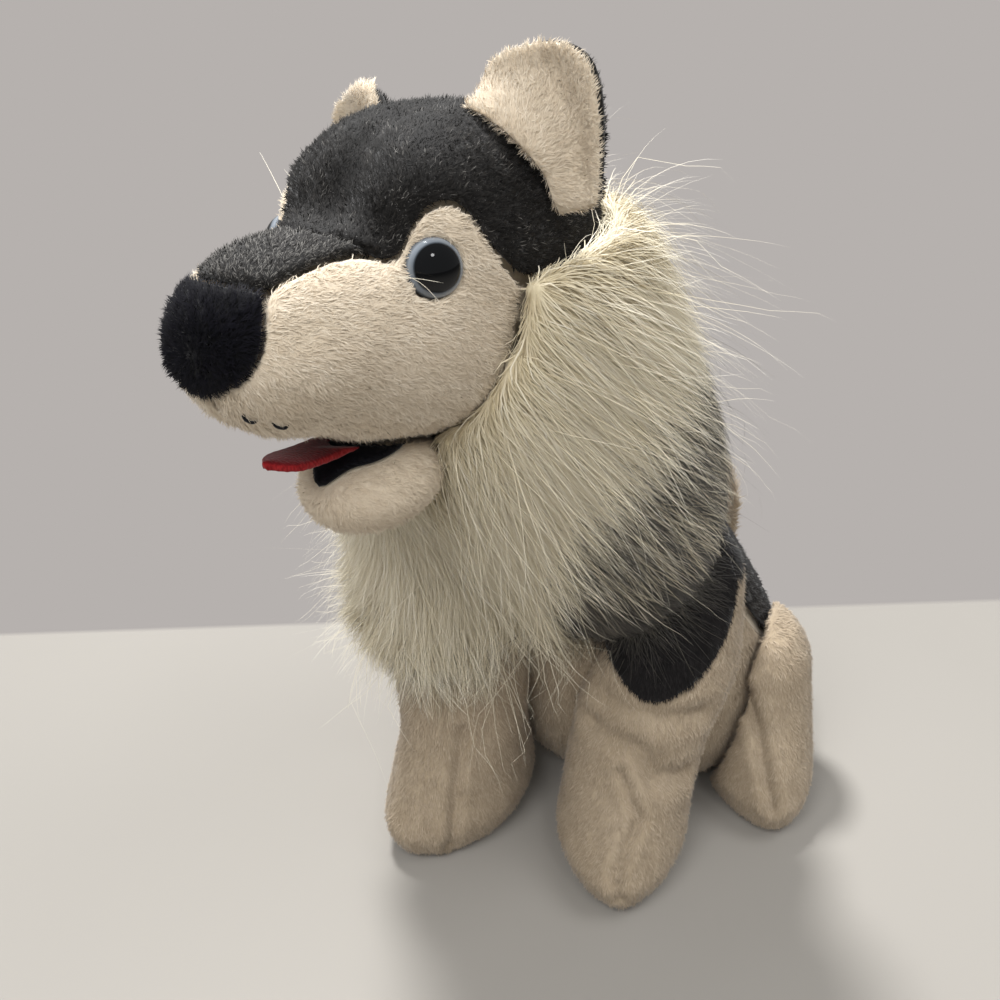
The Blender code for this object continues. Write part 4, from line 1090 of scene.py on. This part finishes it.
def ruffFlow(points):
    # Down the chest, and back as much as down on the flanks and the nape.
    flank = smoothStep(-88, -25, ruffSide(ruffPlace(points)[0]))
    back = 0.80 * flank
    down = 1.0 - 0.36 * flank
    sideways = (points - bodyFoot) @ bodyLeft
    return back[:, None] * bodyBack - down[:, None] * upward + 3.0 * sideways[:, None] * bodyLeft


def nearest(tree, points):
    spots, normals = points.copy(), np.zeros_like(points)
    for i, point in enumerate(points):
        spot, normal, _, _ = tree.find_nearest(Vector(point))
        spots[i], normals[i] = spot, normal
    return spots, normals


def combLines(roots, ways, lengths, rise, user, tree, random, hang, wander=0.16):
    # Each strand is laid over whatever is under it, a step at a time, and rises towards its tip.
    # Where it is far from the skin, hangs at the chest or passes an overhang, it keeps more of its height.
    steps = user["steps"]
    own = random.normal(0, wander, roots.shape)
    curl = random.normal(0, wander * 0.6, roots.shape)
    lines, here = [roots], roots
    stride = (lengths / steps)[:, None]
    normals = ways
    for step in range(steps):
        share = (step + 1) / steps
        nap = ruffFlow(here) + own + curl * share
        nap = unit(nap - normals * (nap * normals).sum(axis=1, keepdims=True))
        droop = 0.3 * user["free"] * share
        ahead = unit(nap * (1 - droop) - droop * upward)
        here = here + ahead * stride
        spots, normals = nearest(tree, here)
        height = ((here - spots) * normals).sum(axis=1)
        wanted = rise * share ** 0.7
        loose = np.clip(-normals[:, 2] * 2.0, 0, 1)
        far = np.clip((height - 0.006) / 0.012, 0, 0.92)
        hold = np.maximum(np.maximum(0.35 + 0.6 * loose, 0.93 * hang), far)
        height = np.where(height < wanted, wanted, wanted + (height - wanted) * hold)
        near = np.linalg.norm(here - spots, axis=1) < 0.05
        here = np.where(near[:, None], spots + normals * height[:, None], here)
        lines.append(here)
    return np.stack(lines, axis=1)


def shapeRuff(skin):
    # The rim reaches up to the head's seam, and the hem thins out so that the pile runs on without a step.
    points, normals, _ = meshArrays(skin)
    angle, along = ruffPlace(points)
    sectors = 48
    wide = 360 / sectors
    sector = ((angle + 180) // wide).astype(int) % sectors
    middles = np.arange(sectors) * wide - 180 + wide / 2
    top = np.interp(angle, middles, [along[sector == i].max() for i in range(sectors)], period=360)
    low = np.interp(angle, middles, [along[sector == i].min() for i in range(sectors)], period=360)
    radial = ruffRadial(points)
    outer = ((radial * normals).sum(axis=1) > -0.2)[:, None]
    rim = ruffUser["rim"] * smoothStep(-0.008, -0.001, along - top)[:, None]
    hem = ruffUser["hem"] * (1 - smoothStep(0.0, 0.022, along - low))[:, None]
    moveSkin(skin, points + rim * (ruffAxis - 0.5 * radial) - outer * hem * radial)


def bulkShare(angle, along):  # where the hair at the chest's right side stands off most
    height = smoothStep(0.0, 0.03, along) * (1 - smoothStep(0.10, 0.14, along))
    return np.exp(-((angle + 132) / 30) ** 2) * height


def makeTufts(skin):
    # Loose hair that stands off the outline: behind the cheeks, at the nape and down the chest's sides.
    user = ruffUser["tuft"]
    random = np.random.default_rng(user["seed"])

    def chosen(points, normals):
        angle, along = ruffPlace(points)
        high = smoothStep(0.085, 0.135, along) * (np.abs(angle + 90) > 78)
        return ruffRoots(points, normals) * np.maximum(0.7 * high, bulkShare(angle, along))

    roots, ways = scatter(skin, user["perSquareMm"], random, chosen)
    count = len(roots)
    angle, along = ruffPlace(roots)
    nape = smoothStep(0.10, 0.15, along)
    behind = nape * np.exp(-((angle % 360 - 195) / 28) ** 2)
    lengths = user["length"] * random.uniform(0.5, 1.25, count) * (1 + 0.8 * behind)
    lifts = np.radians(random.uniform(18, 42, count) + 22 * nape * random.random(count) + 18 * behind)
    lines = growLines(roots, ways, ruffFlow(roots), lengths, lifts, 0.25, user["steps"], random, 0.3)
    lines = gather(lines, 6, 0.35, random)
    width = strandWidths(user, count, random)
    facing = unit(0.5 * ways + 0.8 * upward)
    # The tufts take only the palest cream: partly the hair's own cream-white and partly painted light, as they
    # stand lit against the wall
    tints = 0.85 + 0.15 * random.random(count)
    makeStrands("ruffTufts", lines, facing, width, tints, ruffPile, random)


def makeRuff():
    skin = makeSkin("ruff", "ruffSkin", ruffBacking, voxel=0.0022, smoothing=2)
    shapeRuff(skin)
    storeShare(skin, "greyShare", greyShare(meshArrays(skin)[0]))
    solids = treeOf(bodySkins + [skin])
    for name in ("base", "long", "stray"):
        makeRuffLayer(name, skin, solids)
    makeTufts(skin)


def makeRuffLayer(name, skin, solids):
    user = ruffUser[name]
    random = np.random.default_rng(user["seed"])
    roots, ways = scatter(skin, user["perSquareMm"], random, ruffRoots)
    grey = random.random(len(roots)) < greyShare(roots)
    if name != "base":
        # In the grey, only a share of the long hair grows, and some of it is cream.
        kept = random.random(len(roots))
        creamInGrey = 0.16 * smoothStep(0.035, 0.085, ruffPlace(roots)[1])
        chosen = ~grey | (kept < ruffUser["long grey"] + creamInGrey)
        grey &= kept < ruffUser["long grey"]
        roots, ways, grey = roots[chosen], ways[chosen], grey[chosen]
    count = len(roots)
    angle, along = ruffPlace(roots)
    side = ruffSide(angle)
    nearHead = smoothStep(0.09, 0.15, along) * smoothStep(-40, 20, side)
    chest = (1 - smoothStep(-62, -38, side)) * (1 - smoothStep(0.03, 0.11, along))
    middle = 1 - smoothStep(-82, -58, side)
    bulk = bulkShare(angle, along)
    wedge = np.exp(-((angle + 80) / 15) ** 2) * chest
    lengths = user["length"] * random.uniform(0.6, 1.2, count)
    lengths *= 1 + ruffUser["chest growth"] * chest + 0.9 * wedge * random.random(count) - 0.22 * bulk
    rise = user["rise"] * random.uniform(0.3, 1.4, count) * (1 + 1.6 * nearHead * random.random(count))
    rise *= np.where(grey & (along < 0.07), 0.4, 1.0) * (1 + 1.6 * chest * random.random(count) ** 2)
    rise += ruffUser["bulk"][name] * bulk * random.uniform(0.4, 1.3, count)
    hang = chest * (0.4 + 0.6 * middle)
    lines = combLines(roots, ways, lengths, rise, user, solids, random, hang)
    if name == "long":
        lines = gather(lines, 34, (0.34 + 0.42 * chest)[:, None, None], random)
    width = strandWidths(user, count, random)
    # Shades below about 0.4 are greys. Towards the hem the hair is darker, painted shade, and a few strands of
    # it are dark grey, partly darker hair and partly painted shade in the gaps between the locks.
    hemShade = 0.34 * (1 - smoothStep(0.020, 0.075, along)) * random.random(count)
    tints = np.where(grey, 0.36 * random.beta(1.6, 1.8, count), 0.6 + 0.4 * random.beta(2.0, 2.0, count) - hemShade)
    darkAndShadedStrands = (random.random(count) < 0.22 * (1 - smoothStep(0.010, 0.055, along))) & (name != "base")
    tints = np.where(darkAndShadedStrands & ~grey, random.uniform(0.22, 0.42, count), tints)
    if name == "stray":
        ways = unit(0.5 * ways + 0.8 * upward)
        # The strays are kept as pale: partly their own cream-white and partly painted light, as they stand lit
        # against the wall
        tints = np.maximum(tints, np.where(grey, 0, 0.85))
    for part in range(user["pieces"]):
        own = slice(part, count, user["pieces"])
        makeStrands("ruff" + name.title() + "Pile_" + str(part + 1), lines[own], ways[own], width[own],
                    tints[own], ruffPile, random)


strayUser = {
    "seed": 61, "width": 0.00016, "tint": 0.9,
    "hairs": [[(0.0175, -0.0415, 0.0085), (0.0225, -0.0440, 0.0060), (0.0285, -0.0425, 0.0065),
               (0.0320, -0.0365, 0.0040)],
              [(0.0195, -0.0425, 0.0020), (0.0245, -0.0440, 0.0075), (0.0290, -0.0410, 0.0055),
               (0.0305, -0.0365, -0.0010)]],
}


def makeEyeHairs():
    # Two loose hairs of the ruff that lie across the lower part of the left eye.
    random = np.random.default_rng(strayUser["seed"])
    hairs = np.array(strayUser["hairs"])
    share = np.linspace(0, 1, 10)
    knots = np.linspace(0, 1, hairs.shape[1])
    lines = np.array([[[np.interp(s, knots, hair[:, i]) for i in range(3)] for s in share] for hair in hairs])
    for _ in range(3):
        lines[:, 1:-1] = (lines[:, :-2] + 2 * lines[:, 1:-1] + lines[:, 2:]) / 4
    count = len(lines)
    facing = unit(np.tile([0.6, -0.75, 0.2], (count, 1)))
    width, tints = np.full((2, count), [[strayUser["width"]], [strayUser["tint"]]])
    makeStrands("eyeHairs", headCentre + lines, facing, width, tints, ruffPile, random, taper=0.3)


makeRuff()
makeEyeHairs()
print("ruff made")
